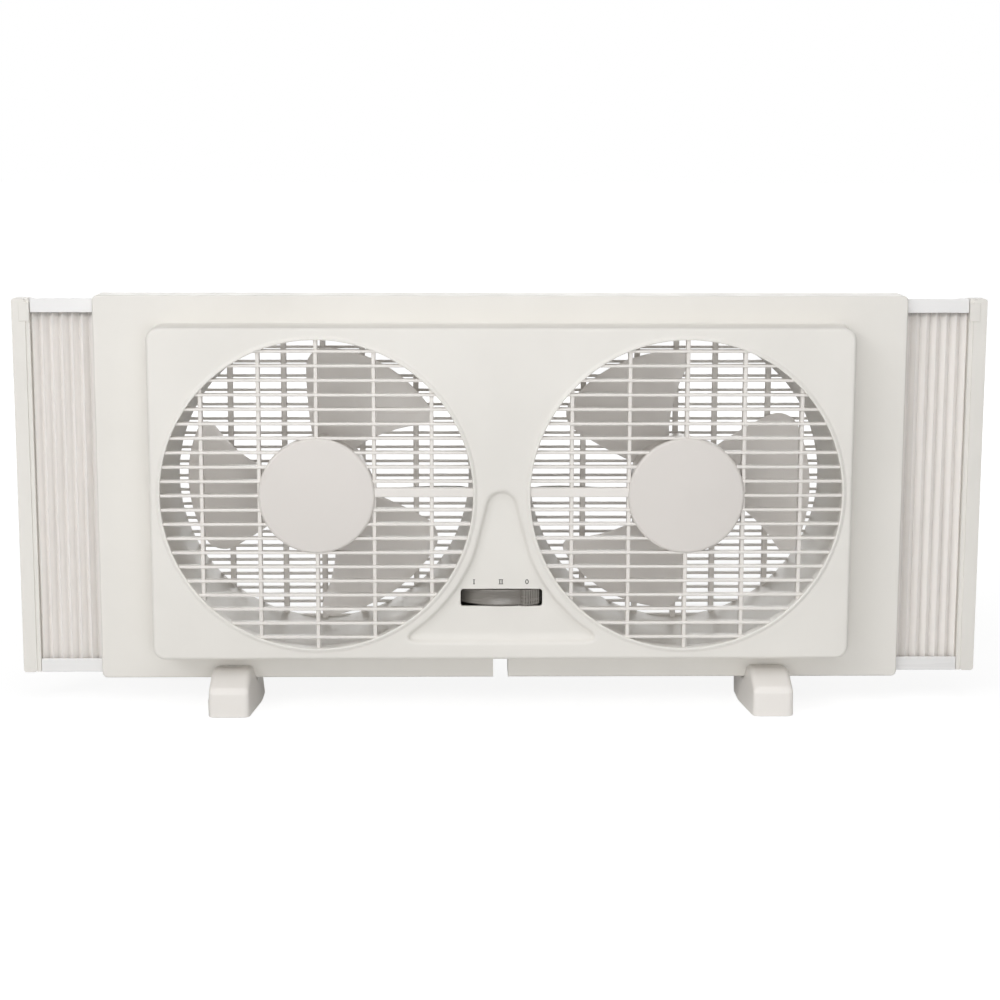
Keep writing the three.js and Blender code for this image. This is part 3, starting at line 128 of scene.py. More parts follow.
def flange(d, notch=0.0):
    """The flange's outline, drawn in by d, with the notch in its lower edge."""
    loop = rounded(BODY_W - 2 * d, BODY_H - 2 * d, max(BODY_CORNER - d, 0.4), 8)
    half, low = NOTCH_HALF + notch, -BODY_H / 2 + d
    top = NOTCH_TOP + notch
    return np.vstack([[(half, low)], loop, [(-half, low), (-half, top), (half, top)]])


def bezel(d):
    return rounded(BEZEL_W - 2 * d, BEZEL_H - 2 * d, BEZEL_CORNER - d)


def offset(loop, d):
    """A closed counterclockwise outline moved outwards by d along its corners' normals."""
    before, after = np.roll(loop, 1, 0), np.roll(loop, -1, 0)

    def normal(a, b):
        e = b - a
        e = e / np.linalg.norm(e, axis=1)[:, None]
        return np.stack([e[:, 1], -e[:, 0]], 1)
    n1, n2 = normal(before, loop), normal(loop, after)
    middle = n1 + n2
    return loop + d * 2 * middle / np.sum(middle ** 2, axis=1)[:, None]


def recess_outline():
    """The bell-shaped recess between the two openings."""
    radius, bottom, corner, top, top_z, neck_z = OPEN_R + 7.7, -111.0, 5.0, 12.4, -8.2, -44.0
    cz = bottom + corner
    cx = FAN_X - math.sqrt((radius + corner) ** 2 - cz ** 2)
    ca = math.degrees(math.atan2(-cz, FAN_X - cx))
    na = math.degrees(math.asin(-neck_z / radius))
    nx = FAN_X - radius * math.cos(math.radians(na))
    right = [(x, bottom) for x in np.linspace(0, cx, 10)[1:-1]]
    right += arc(cx, cz, corner, -90, ca, 9)
    right += arc(FAN_X, 0, radius, 180 + ca, 180 + na, 36)[1:]
    mid = np.array([(nx + top) / 2, (neck_z + top_z) / 2])
    a, b = np.array([nx, neck_z]), np.array([top, top_z])
    for t in np.linspace(0, 1, 10)[1:]:
        right.append(tuple((1 - t) ** 2 * a + 2 * t * (1 - t) * mid + t * t * b))
    right += arc(0, top_z, top, 0, 90, 14)[1:]
    left = [(-x, z) for x, z in reversed(right[:-1])]
    loop = np.array([(0, bottom)] + right + left)
    for _ in range(6):
        loop = loop + 0.5 * ((np.roll(loop, 1, 0) + np.roll(loop, -1, 0)) / 2 - loop)
    return loop


def distance(points, loop):
    """How far points lie from a closed outline."""
    a, b = loop, np.roll(loop, -1, 0)
    e = b - a
    best = np.full(len(points), 1e9)
    for start, edge, size in zip(a, e, np.sum(e ** 2, axis=1)):
        t = np.clip(((points - start) @ edge) / size, 0, 1)
        best = np.minimum(best, np.hypot(*(points - start - t[:, None] * edge).T))
    return best


def inside(points, loop):
    x, z = points[:, 0][:, None], points[:, 1][:, None]
    x1, z1 = loop[:, 0], loop[:, 1]
    x2, z2 = np.roll(x1, -1), np.roll(z1, -1)
    cross = (z1 > z) != (z2 > z)
    with np.errstate(divide="ignore", invalid="ignore"):
        at = (x2 - x1) * (z - z1) / (z2 - z1) + x1
    return (np.sum(cross & (x < at), axis=1) % 2) == 1


# ------------------------------------------------------------------ mesh building


class Shape:
    """Vertices and faces of one piece, in millimetres about the body's mid-height."""

    def __init__(self):
        self.verts, self.faces = [], []

    def add(self, loop, y=None):
        start = len(self.verts)
        if y is None:
            self.verts += [tuple(p) for p in loop]
        else:
            self.verts += [(p[0], y, p[1]) for p in loop]
        return list(range(start, len(self.verts)))

    def bridge(self, a, b):
        n = len(a)
        self.faces += [(a[i], a[(i + 1) % n], b[(i + 1) % n], b[i]) for i in range(n)]

    def walls(self, path, outline):
        """Joins the outlines that outline(d) gives, each at its own y."""
        rings = [self.add(outline(d), y) for d, y in path]
        for a, b in zip(rings, rings[1:]):
            self.bridge(a, b)

    def plate(self, y, outer, holes=(), extra=()):
        """A face between an outline and its holes, at y or at the height that y(points) gives."""
        loops = [np.asarray(outer)] + [np.asarray(h) for h in holes]
        points, edges = [], []
        for loop in loops:
            start = len(points)
            points += [Vector((float(p[0]), float(p[1]))) for p in loop]
            edges += [(start + i, start + (i + 1) % len(loop)) for i in range(len(loop))]
        points += [Vector((float(p[0]), float(p[1]))) for p in extra]
        verts, _, tris, _, _, _ = delaunay_2d_cdt(points, edges, [], 0, 1e-5)
        flat = np.array([(v.x, v.y) for v in verts])
        tris = np.array(tris)
        middle = flat[tris].mean(1)
        keep = inside(middle, loops[0])
        for hole in loops[1:]:
            keep &= ~inside(middle, hole)
        if callable(y):
            ids = self.add(np.stack([flat[:, 0], y(flat), flat[:, 1]], 1))
        else:
            ids = self.add(flat, y)
        self.faces += [tuple(ids[k] for k in t) for t in tris[keep]]

    def block_loop(self, loops):
        """A closed bar through the given outlines of 3-D points, capped at both ends."""
        rings = [self.add(l) for l in loops]
        for a, b in zip(rings, rings[1:]):
            self.bridge(a, b)
        self.faces.append(tuple(reversed(rings[0])))
        self.faces.append(tuple(rings[-1]))

    def bar(self, x, y, z, r=0.5, along=0, n=4):
        """A straight bar between two corners, with rounded long edges, along X or Z."""
        if along == 0:
            section = rounded(y[1] - y[0], z[1] - z[0], r, n, sum(y) / 2, sum(z) / 2)
            self.block_loop([[(e, p[0], p[1]) for p in section] for e in x])
        else:
            section = rounded(x[1] - x[0], y[1] - y[0], r, n, sum(x) / 2, sum(y) / 2)
            self.block_loop([[(p[0], p[1], e) for p in section] for e in z])

    def lathe(self, profile, cx=0.0, cz=0.0, n=ROUND, closed=True):
        """A profile of (radius, y) points turned about a line along Y."""
        rings = []
        for r, y in profile:
            if r < 1e-6:
                rings.append(self.add([(cx, y, cz)]))
            else:
                rings.append(self.add(circle(cx, cz, r, n), y))
        pairs = list(zip(rings, rings[1:]))
        if closed:
            pairs.append((rings[-1], rings[0]))
        for a, b in pairs:
            if len(a) == 1 and len(b) == 1:
                continue
            if len(a) == 1 or len(b) == 1:
                tip, ring = (a[0], b) if len(a) == 1 else (b[0], a)
                self.faces += [(tip, ring[i], ring[(i + 1) % n]) for i in range(n)]
            else:
                self.bridge(a, b)

    def object(self, name, material, body, slot, sharp=35.0, lift=AXIS_Z, weld=True):
        mesh = bpy.data.meshes.new(name)
        points = np.array(self.verts, float)
        points[:, 2] += lift
        mesh.from_pydata((points * MM).tolist(), [], self.faces)
        return finish_piece(name, mesh, material, body, sharp, weld)


def finish_piece(name, mesh, material, body, sharp=35.0, weld=True):
    bm = bmesh.new()
    bm.from_mesh(mesh)
    if weld:
        bmesh.ops.remove_doubles(bm, verts=bm.verts, dist=2e-6)
        bmesh.ops.dissolve_degenerate(bm, edges=bm.edges, dist=1e-7)
    bmesh.ops.recalc_face_normals(bm, faces=bm.faces)
    bm.to_mesh(mesh)
    bm.free()
    for p in mesh.polygons:
        p.use_smooth = True
    mesh.set_sharp_from_angle(angle=math.radians(sharp))
    mesh.materials.clear()
    mesh.materials.append(material)
    obj = bpy.data.objects.new(name, mesh)
    bpy.context.scene.collection.objects.link(obj)
    if body:
        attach(obj, body)
    return obj


def bake(obj):
    """Applies the piece's modifiers to its mesh."""
    graph = bpy.context.evaluated_depsgraph_get()
    mesh = bpy.data.meshes.new_from_object(obj.evaluated_get(graph))
    obj.modifiers.clear()
    obj.data = mesh


def cut_boxes(obj, boxes):
    """Takes boxes, given as corner ranges in millimetres, out of a piece."""
    cutter = Shape()
    for x, y, z in boxes:
        cutter.bar(x, y, z, 0.01, 0, 2)
    tool = cutter.object("cutter", obj.data.materials[0], None, None)
    modifier = obj.modifiers.new("cut", "BOOLEAN")
    modifier.operation, modifier.object, modifier.solver = "DIFFERENCE", tool, "EXACT"
    modifier.use_self = False
    bake(obj)
    bpy.data.objects.remove(tool)


def weigh(obj):
    modifier = obj.modifiers.new("weighted", "WEIGHTED_NORMAL")
    modifier.keep_sharp = True
    modifier.weight = 90
    return obj


def refined(node, name, material, width, limit=40.0):
    """A copy of a CAD node with rounded edges, which stands for it."""
    source = frame["nodes"][node]
    mesh = source.data.copy()
    obj = finish_piece(name, mesh, material, source["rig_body"])
    bm = bmesh.new()
    bm.from_mesh(mesh)
    bmesh.ops.dissolve_limit(bm, angle_limit=math.radians(1), verts=bm.verts, edges=bm.edges)
    bm.to_mesh(mesh)
    bm.free()
    modifier = obj.modifiers.new("edge", "BEVEL")
    modifier.width, modifier.segments = width * MM, 3
    modifier.limit_method, modifier.angle_limit = "ANGLE", math.radians(limit)
    modifier.harden_normals = False
    bake(obj)
    for p in obj.data.polygons:
        p.use_smooth = True
    obj.data.set_sharp_from_angle(angle=math.radians(limit))
    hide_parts(node)
    return weigh(obj)


# ------------------------------------------------------------------ materials


def srgb(r, g, b):
    return tuple(((c / 255 + 0.055) / 1.055) ** 2.4 if c > 10 else c / 255 / 12.92
                 for c in (r, g, b)) + (1.0,)


class Paint:
    """A node material with a principled shader and short calls for the nodes before it."""

    def __init__(self, name):
        self.material = bpy.data.materials.new(name)
        self.material.use_nodes = True
        self.tree = self.material.node_tree
        self.shader = self.tree.nodes["Principled BSDF"]
        self.coords = self.tree.nodes.new("ShaderNodeTexCoord").outputs["Object"]

    def node(self, kind, **values):
        node = self.tree.nodes.new(kind)
        for key, value in values.items():
            if hasattr(node, key):
                setattr(node, key, value)
            else:
                node.inputs[key].default_value = value
        return node

    def link(self, a, b):
        self.tree.links.new(a, b)

    def scaled(self, x, y, z):
        mapping = self.node("ShaderNodeMapping")
        mapping.inputs["Scale"].default_value = (x, y, z)
        self.link(self.coords, mapping.inputs["Vector"])
        return mapping.outputs["Vector"]

    def noise(self, scale, detail=3.0, roughness=0.5, vector=None):
        noise = self.node("ShaderNodeTexNoise", Scale=scale, Detail=detail, Roughness=roughness)
        self.link(vector or self.coords, noise.inputs["Vector"])
        return noise.outputs["Fac"]

    def ranged(self, value, low, high, to_low, to_high):
        node = self.node("ShaderNodeMapRange")
        ends = {"From Min": low, "From Max": high, "To Min": to_low, "To Max": to_high}
        for key, v in ends.items():
            node.inputs[key].default_value = v
        self.link(value, node.inputs["Value"])
        return node.outputs["Result"]

    def spread(self, value, low, high):
        """Maps a noise's middle range to low..high."""
        return self.ranged(value, 0.3, 0.7, low, high)

    def sum(self, a, b):
        node = self.node("ShaderNodeMath", operation="ADD")
        self.link(a, node.inputs[0])
        self.link(b, node.inputs[1])
        return node.outputs[0]

    def colours(self, value, stops):
        ramp = self.node("ShaderNodeValToRGB")
        elements = ramp.color_ramp.elements
        while len(elements) < len(stops):
            elements.new(0.5)
        for element, (at, colour) in zip(elements, stops):
            element.position, element.color = at, colour
        self.link(value, ramp.inputs["Fac"])
        return ramp.outputs["Color"]

    def bump(self, height, distance, strength=1.0, before=None):
        node = self.node("ShaderNodeBump", Strength=strength, Distance=distance * MM)
        self.link(height, node.inputs["Height"])
        if before:
            self.link(before, node.inputs["Normal"])
        return node.outputs["Normal"]


def plastic(name, colour, rough=0.42, tone=5, grain=0.012, specular=0.5, streak=None):
    """Moulded plastic: a slow tone drift, flow streaks, fine grain and a roughness that varies."""
    p = Paint(name)
    darker = srgb(*(c - tone for c in colour))
    lighter = srgb(*(min(c + tone * 0.5, 255) for c in colour))
    drift = p.noise(7.0, 4.0, 0.55)
    p.link(p.colours(drift, [(0.3, darker), (0.52, srgb(*colour)), (0.75, lighter)]),
           p.shader.inputs["Base Color"])
    flow = p.noise(60.0, 3.0, 0.6, p.scaled(*(streak or (1.0, 1.0, 0.25))))
    p.link(p.spread(flow, rough - 0.05, rough + 0.06), p.shader.inputs["Roughness"])
    fine = p.bump(p.noise(1700.0, 2.0, 0.6), grain, 0.6)
    wave = p.bump(p.noise(55.0, 2.0, 0.4), 0.05, 0.35, fine)
    p.link(wave, p.shader.inputs["Normal"])
    p.shader.inputs["Specular IOR Level"].default_value = specular
    return p.material


def sheet_plastic(name, colour):
    """Thin folded sheet that lets a little light through, with painted shade in its valleys and a
    painted shadow where these run in under the top track."""
    p = Paint(name)
    lines = p.noise(240.0, 3.0, 0.6, p.scaled(1.0, 1.0, 0.02))
    place = p.node("ShaderNodeSeparateXYZ")
    p.link(p.coords, place.inputs[0])
    # Painted shade: darker towards the back of each fold, in its valleys, and a painted shadow
    # near the top end, where the folds run in under the track's lip.
    valley_shade = p.ranged(place.outputs["Y"], -0.0029, 0.0031, 0.0, 0.42)
    track_lip_shadow = p.ranged(place.outputs["Z"], 0.2898, 0.2944, 0.0, 0.62)
    grain = p.spread(lines, 0.0, 0.06)
    shade_and_grain = p.sum(p.sum(valley_shade, track_lip_shadow), grain)
    # From the sheet's own colour, with its faint lines, through the painted shade down to the
    # darkest painted shadow.
    stops = [(0.0, srgb(*colour)), (0.2, srgb(*(c - 4 for c in colour))),
             (0.46, srgb(*(c - 34 for c in colour))), (0.72, srgb(*(c - 50 for c in colour))),
             (1.0, srgb(96, 86, 78))]
    p.link(p.colours(shade_and_grain, stops), p.shader.inputs["Base Color"])
    p.link(p.spread(p.noise(35.0), 0.42, 0.55), p.shader.inputs["Roughness"])
    p.link(p.bump(lines, 0.02, 0.4), p.shader.inputs["Normal"])
    p.shader.inputs["Subsurface Weight"].default_value = 0.06
    p.shader.inputs["Subsurface Radius"].default_value = (0.004, 0.003, 0.0025)
    p.shader.inputs["Subsurface Scale"].default_value = 1.0
    return p.material


def metal(name, colour, rough=0.35, stretch=(1.0, 30.0, 1.0), dark=30):
    """Bare or plated metal with fine drawing marks and a cloudy tarnish."""
    p = Paint(name)
    marks = p.noise(90.0, 5.0, 0.65, p.scaled(*stretch))
    cloud = p.noise(28.0, 4.0, 0.6)
    stops = [(0.3, srgb(*(max(c - dark, 4) for c in colour))), (0.65, srgb(*colour))]
    p.link(p.colours(cloud, stops), p.shader.inputs["Base Color"])
    p.link(p.spread(marks, rough - 0.08, rough + 0.12), p.shader.inputs["Roughness"])
    p.link(p.bump(marks, 0.04, 0.5), p.shader.inputs["Normal"])
    p.shader.inputs["Metallic"].default_value = 1.0
    return p.material


SHELL = plastic("shell_plastic", (232, 229, 223))
GRILLE = plastic("grille_plastic", (233, 229, 224), 0.38)
CAP = plastic("cap_plastic", (220, 215, 210), 0.36)
# The blades' white is lighter than the shell's: painted light for the light that reaches them
# inside the ducts.
BLADE = plastic("blade_plastic", (242, 238, 234), 0.34, streak=(1.0, 0.3, 1.0))
DIAL = plastic("dial_plastic", (134, 130, 124), 0.26, 18, 0.02, streak=(0.1, 0.1, 1.0))
TRACK = plastic("track_plastic", (238, 237, 236), 0.3, streak=(0.05, 1.0, 1.0))
PLEAT = sheet_plastic("pleat_sheet", (248, 244, 240))
# The feet's white is lighter than the shell's: painted light that brightens their shaded tops and
# sides.
FOOT = plastic("foot_plastic", (238, 234, 229), 0.4)
SWITCH = plastic("switch_plastic", (38, 38, 40), 0.45, 8)
LEAD = plastic("lead_insulation", (205, 205, 200), 0.5)
INLET = plastic("inlet_rubber", (42, 42, 42), 0.6, 8, 0.03, 0.3)
MARK = plastic("mark_ink", (104, 101, 98), 0.5, 10)
STEEL = metal("zinc_steel", (190, 192, 196))
SCREW = metal("screw_steel", (175, 178, 182), 0.3)
LAMINATION = metal("laminated_steel", (104, 108, 112), 0.5, (1.0, 60.0, 1.0))
COPPER = metal("copper_winding", (176, 98, 52), 0.35, (4.0, 1.0, 4.0))
BRONZE = metal("sintered_bronze", (165, 128, 70), 0.5)

# ------------------------------------------------------------------ front shell

RECESS = recess_outline()


def recess(d):
    return offset(RECESS, d)


def slot(d):
    return rounded(SLOT_W + 2 * d, SLOT_H + 2 * d, 2.0 + d, 6, 0.0, SLOT_Z)


def soft_curve(stops, sigma):
    """A table that runs smoothly near the given (place, depth) stops."""
    at = np.linspace(-4, 12, 1601)
    kernel = np.exp(-0.5 * (np.arange(-200, 201) * 0.01 / sigma) ** 2)
    value = np.interp(at, *zip(*stops))
    padded = np.concatenate([np.full(200, value[0]), value, np.full(200, value[-1])])
    return at, np.convolve(padded, kernel / kernel.sum(), "valid")


# The recess's wall: a rounded lip, then a slope that eases out into the floor.
RECESS_CURVE = soft_curve([(-1.8, 0.0), (-0.6, 0.08), (0.4, 0.4), (1.1, 1.1), (1.8, 2.2),
                           (2.5, 2.9), (3.6, 3.35), (5.2, 3.7), (6.8, 3.92), (8.6, 4.0)], 0.25)
RECESS_RINGS = [-2.2, -1.4, -0.8, -0.3, 0.1, 0.45, 0.8, 1.1, 1.4, 1.7, 2.0, 2.35, 2.7, 3.1]


def recess_depth(inward):
    return np.interp(inward, *RECESS_CURVE)


def into_recess(points):
    """How far points lie inside the recess's outline, and less than nothing outside it."""
    return distance(points, RECESS) * np.where(inside(points, RECESS), 1, -1)


def recess_face(points):
    return FRONT_Y + recess_depth(into_recess(np.asarray(points, float)))


def open_mouths(shell):
    """Cuts the slots in the body's ends that the side panels run through."""
    cut_boxes(shell, [((end - MOUTH_CUT, end + MOUTH_CUT), (-MOUTH_HALF_DEPTH, MOUTH_HALF_DEPTH),
                       (-MOUTH_HALF_HEIGHT, MOUTH_HALF_HEIGHT))
                      for end in (-BODY_W / 2, BODY_W / 2)])


def front_shell():
    s = Shape()
    round_r, fillet, draft = 2.7, 1.6, 0.5
    y, face_edge = -FLANGE_Y, round_r + draft
    s.walls([(SEAM_EDGE, -SEAM), (0.0, -SEAM - SEAM_EDGE)]
            + arc(FLANGE_EDGE, y + FLANGE_EDGE, FLANGE_EDGE, 180, 270, 6), flange)
    s.plate(y, flange(FLANGE_EDGE), [bezel(-fillet)])
    # Out along the box's side and round its front edge.
    side = [(-fillet + fillet * math.sin(a), y - fillet + fillet * math.cos(a))
            for a in np.radians(np.linspace(0, 90, 5))]
    side += arc(face_edge, FRONT_Y + round_r, round_r, 183, 270, 12)
    s.walls(side, bezel)
    foot_r = OPEN_R + RIM_W + RIM_FOOT
    holes = [circle(x, 0, foot_r) for x in FAN_CENTRES]
    s.plate(FRONT_Y, bezel(face_edge), holes + [recess(-RECESS_RINGS[0])])
    # The ring round each opening: its outer slope, its crown, and the wall inside.
    rise = [(foot_r, 0.0), (foot_r - 0.6, 0.06), (foot_r - 1.1, 0.25), (foot_r - 1.5, 0.5),
            (foot_r - 2.0, 0.8), (foot_r - 2.5, 0.97), (OPEN_R + 0.9, RIM_RISE),
            (OPEN_R + 0.45, 0.98), (OPEN_R + 0.12, 0.8), (OPEN_R, 0.5)]
    rim = [(r, FRONT_Y - up) for r, up in rise]
    rim += [(OPEN_R, SPOKE_BACK), (OPEN_R + RIM_W, SPOKE_BACK), (OPEN_R + RIM_W, FRONT_Y + WALL)]
    for x in FAN_CENTRES:
        s.lathe(rim, x, 0, closed=False)
    s.walls([(-t, FRONT_Y + float(recess_depth(t))) for t in RECESS_RINGS], recess)
    # The recess's floor, with points near its wall for the slope, and the slot's softened edge.
    last, step, slope_end = RECESS_RINGS[-1], 1.1, 9.2
    hole = slot(0.5)
    grid = np.array([(x, z) for x in np.arange(-78, 78, step) for z in np.arange(-112, 6, step)])
    into = into_recess(grid)
    clear = ~inside(grid, slot(1.1)) & (into > last + 0.6) & (into < slope_end)
    s.plate(recess_face, recess(-last), [hole], grid[clear])
    rings = []
    for d, drop in ((0.5, 0.0), (0.25, 0.07), (0.07, 0.25), (0.0, 0.5)):
        loop = slot(d)
        rings.append(s.add(np.stack([loop[:, 0], recess_face(hole) + drop, loop[:, 1]], 1)))
    rings.append(s.add(slot(0.0), RECESS_Y + WALL))
    for first, second in zip(rings, rings[1:]):
        s.bridge(first, second)
    s.plate(RECESS_Y + WALL, recess(WALL), [slot(0.0)])
    s.walls([(WALL, RECESS_Y + WALL), (WALL, FRONT_Y + WALL)], recess)
    # Inside of the walls.
    holes = [circle(x, 0, OPEN_R + RIM_W) for x in FAN_CENTRES]
    s.plate(FRONT_Y + WALL, bezel(WALL), holes + [recess(WALL)])
    s.walls([(WALL, FRONT_Y + WALL), (WALL, y + WALL)], bezel)
    s.plate(y + WALL, flange(WALL, WALL), [bezel(WALL)])
    s.walls([(WALL, y + WALL), (WALL, -SEAM)], lambda d: flange(d, WALL))
    s.bridge(s.add(flange(WALL, WALL), -SEAM), s.add(flange(SEAM_EDGE), -SEAM))
    shell = s.object("front_shell", SHELL, "body", "shell")
    open_mouths(shell)
    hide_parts("front_housing")
    return shell


def chords(at):
    """The stretches of a bar or spoke at a distance from an opening's middle, beside the cap."""
    reach = math.sqrt((OPEN_R + BAR_SINK) ** 2 - at * at)
    if abs(at) >= CAP_R:
        return [(-reach, reach)]
    in_cap = math.sqrt(max((CAP_R - CAP_SINK) ** 2 - at * at, 1.0))
    return [(-reach, -in_cap), (in_cap, reach)]


def grille(sign, side):
    s = Shape()
    cx = sign * FAN_X
    count = int(OPEN_R // BAR_PITCH)
    for k in range(-count, count + 1):
        z = k * BAR_PITCH
        for a, b in chords(z):
            # The middle bar's inner half is taller and covers the motor's lead.
            covers = k == 0 and sign * (a + b) < 0
            s.bar((cx + a, cx + b), (BAR_FRONT, BAR_BACK),
                  (z - BAR_H / 2, COVER_HIGH if covers else z + BAR_H / 2), 0.7)
    for k in range(-2, 3):
        x = k * SPOKE_PITCH
        for a, b in chords(x):
            s.bar((cx + x - SPOKE_W / 2, cx + x + SPOKE_W / 2), (SPOKE_FRONT, SPOKE_BACK), (a, b),
                  0.6, 2)
    return s.object(f"front_grille_{side}", GRILLE, "body", "shell", weld=False)


def hub_cap(sign, side):
    s = Shape()
    front, round_r = CAP_FRONT, 2.2
    profile = [(0.0, front - 0.35), (CAP_R * 0.35, front - 0.3), (CAP_R * 0.7, front - 0.12)]
    profile += [(CAP_R - round_r + r, yy) for r, yy in arc(0, front + round_r, round_r, -90, 0, 8)]
    profile += [(CAP_R, SPOKE_BACK), (CAP_R - WALL, SPOKE_BACK), (CAP_R - WALL, front + WALL),
                (0.0, front + WALL)]
    s.lathe(profile, sign * FAN_X, 0, closed=False)
    return s.object(f"hub_cap_{side}", CAP, "body", "shell")


weigh(front_shell())
for sign, side in SIDES:
    weigh(grille(sign, side))
    weigh(hub_cap(sign, side))

# ------------------------------------------------------------------ rear shell


def rear_shell():
    s = Shape()
    face_edge, fillet, lip = 3.2, 1.0, 1.0
    y, inner = FLANGE_Y, REAR_Y - WALL
    s.walls([(SEAM_EDGE, SEAM), (0.0, SEAM + SEAM_EDGE)]
            + arc(FLANGE_EDGE, y - FLANGE_EDGE, FLANGE_EDGE, 180, 90, 6), flange)
    s.plate(y, flange(FLANGE_EDGE), [bezel(-fillet)])
    side = [(-fillet + fillet * math.sin(a), y + fillet - fillet * math.cos(a))
            for a in np.radians(np.linspace(0, 90, 5))]
    side += arc(face_edge, REAR_Y - face_edge, face_edge, 180, 90, 9)
    s.walls(side, bezel)
    openings = [circle(x, 0, REAR_OPEN_R + lip) for x in FAN_CENTRES]
    wells = [circle(x, z, WELL_R + WELL_LIP, 24) for x, z in SCREWS]
    inlet = circle(0, INLET_Z, INLET_R, 32)
    s.plate(REAR_Y, bezel(face_edge), openings + wells + [inlet])
    duct = arc(REAR_OPEN_R + lip, REAR_Y - lip, lip, 90, 180, 5)
    duct += [(OPEN_R, DUCT_FRONT), (OPEN_R + DUCT_WALL, DUCT_FRONT),
             (REAR_OPEN_R + DUCT_WALL, inner)]
    for x in FAN_CENTRES:
        s.lathe(duct, x, 0, closed=False)
    well = arc(WELL_R + WELL_LIP, REAR_Y - WELL_LIP, WELL_LIP, 90, 180, 4)
    well += [(WELL_R, WELL_FLOOR), (SCREW_HOLE_R, WELL_FLOOR), (SCREW_HOLE_R, WELL_FLOOR - WALL),
             (WELL_R + WALL, WELL_FLOOR - WALL), (WELL_R + WALL, inner)]
    for x, z in SCREWS:
        s.lathe(well, x, z, 24, closed=False)
    s.lathe([(INLET_R, REAR_Y), (INLET_R, inner)], 0, INLET_Z, 32, closed=False)
    # Inside of the walls.
    holes = [circle(x, 0, REAR_OPEN_R + DUCT_WALL) for x in FAN_CENTRES]
    holes += [circle(x, z, WELL_R + WALL, 24) for x, z in SCREWS] + [inlet]
    s.plate(inner, bezel(WALL), holes)
    s.walls([(WALL, inner), (WALL, y - WALL)], bezel)
    s.plate(y - WALL, flange(WALL, WALL), [bezel(WALL)])
    s.walls([(WALL, y - WALL), (WALL, SEAM)], lambda d: flange(d, WALL))
    s.bridge(s.add(flange(WALL, WALL), SEAM), s.add(flange(SEAM_EDGE), SEAM))
    shell = s.object("rear_shell", SHELL, "body", "shell")
    open_mouths(shell)
    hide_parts("rear_housing")
    return shell


def louvres(sign, side):
    s = Shape()
    cx = sign * FAN_X
    count = int(REAR_OPEN_R // LOUVRE_PITCH)
    for k in range(-count, count + 1):
        z = k * LOUVRE_PITCH
        reach = math.sqrt((REAR_OPEN_R + 1.0) ** 2 - z * z)
        s.bar((cx - reach, cx + reach), (LOUVRE_FRONT, REAR_Y),
              (z - LOUVRE_H / 2, z + LOUVRE_H / 2), 0.6)
    for x in REAR_SPOKES:
        reach = math.sqrt((REAR_OPEN_R + 1.0) ** 2 - x * x)
        s.bar((cx + x - REAR_SPOKE_W / 2, cx + x + REAR_SPOKE_W / 2),
              (REAR_SPOKE_FRONT, LOUVRE_FRONT + 2.5), (-reach, reach), 0.7, 2)
    return s.object(f"rear_grille_{side}", GRILLE, "body", "shell", weld=False)


weigh(rear_shell())
for sign, side in SIDES:
    weigh(louvres(sign, side))

# ------------------------------------------------------------------ rotors

HUB_FRONT, HUB_BACK, HUB_R = 8.0, 41.0, 34.6
TIP_R, SPREAD, LIFT, THICK = 101.0, 57.0, 27.0, 2.2
ROTOR_TURN = {"left": 68.0, "right": 244.5}


def blade(s, turn, cx):
    """One helical blade with rounded corners and edges that thin out."""
    spans, chords = 26, 30
    root, middle = HUB_R - 1.1, (HUB_FRONT + HUB_BACK) / 2
    half = math.radians(SPREAD) / 2
    rings = []
    for i in range(spans + 1):
        radius = root + (TIP_R - root) * math.sin(i / spans * math.pi / 2)
        reach = []
        # How many degrees each edge stands off the blade's middle, and its tip corner's radius.
        low_edge, high_edge = 27 + 0.3 * (radius - 54.5), 30 + 0.1 * (87 - radius)
        for degrees, corner in ((low_edge, 13.0), (high_edge, 15.0)):
            into = max(0.0, radius - (TIP_R - corner))
            cut = corner - math.sqrt(max(corner ** 2 - into ** 2, 0))
            reach.append(math.radians(degrees) - cut / radius)
        top, low = [], []
        for j in range(chords + 1):
            v = math.sin((2 * j / chords - 1) * math.pi / 2)
            angle = v * (reach[1] if v > 0 else reach[0])
            y = middle + LIFT / 2 * min(max(angle / half, -1.1), 1.1) + 1.2 - 2.4 * v * v
            edge = math.sqrt(max(1 - abs(v) ** 6, 0)) * math.sqrt(max(1 - (i / spans) ** 8, 0))
            t = THICK / 2 * max(edge, 0.12)
            x, z = cx + radius * math.cos(turn + angle), radius * math.sin(turn + angle)
            top.append((x, y + t, z))
            low.append((x, y - t, z))
        rings.append(s.add(top + low[::-1]))
    for a, b in zip(rings, rings[1:]):
        s.bridge(a, b)
    s.faces.append(tuple(rings[-1]))
    s.faces.append(tuple(reversed(rings[0])))


def rotor(sign, side):
    s = Shape()
    cx = sign * FAN_X
    bore, boss, wall, edge = 3.3, 7.0, 2.2, 2.5
    floor = HUB_BACK - wall
    third = HUB_FRONT + (HUB_BACK - HUB_FRONT) / 3
    profile = [(bore, third), (boss, third), (boss, floor), (HUB_R - wall, floor),
               (HUB_R - wall, HUB_FRONT), (HUB_R, HUB_FRONT)]
    profile += [(HUB_R - edge + r, yy) for r, yy in arc(0, HUB_BACK - edge, edge, 0, 90, 7)]
    profile += [(HUB_R - 8.0, HUB_BACK), (HUB_R - 9.0, HUB_BACK - 0.8), (12.0, HUB_BACK - 0.8),
                (11.0, HUB_BACK), (bore, HUB_BACK)]
    s.lathe(profile, cx, 0, 96)
    turn = math.radians(ROTOR_TURN[side])
    for n in range(3):
        blade(s, turn + n * 2 * math.pi / 3, cx)
    obj = s.object(f"fan_rotor_{side}", BLADE, f"rotor_unit_{side}", "blade", 40, weld=False)
    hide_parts(f"rotor_{side}")
    return weigh(obj)


for sign, side in SIDES:
    rotor(sign, side)

# ------------------------------------------------------------------ dial


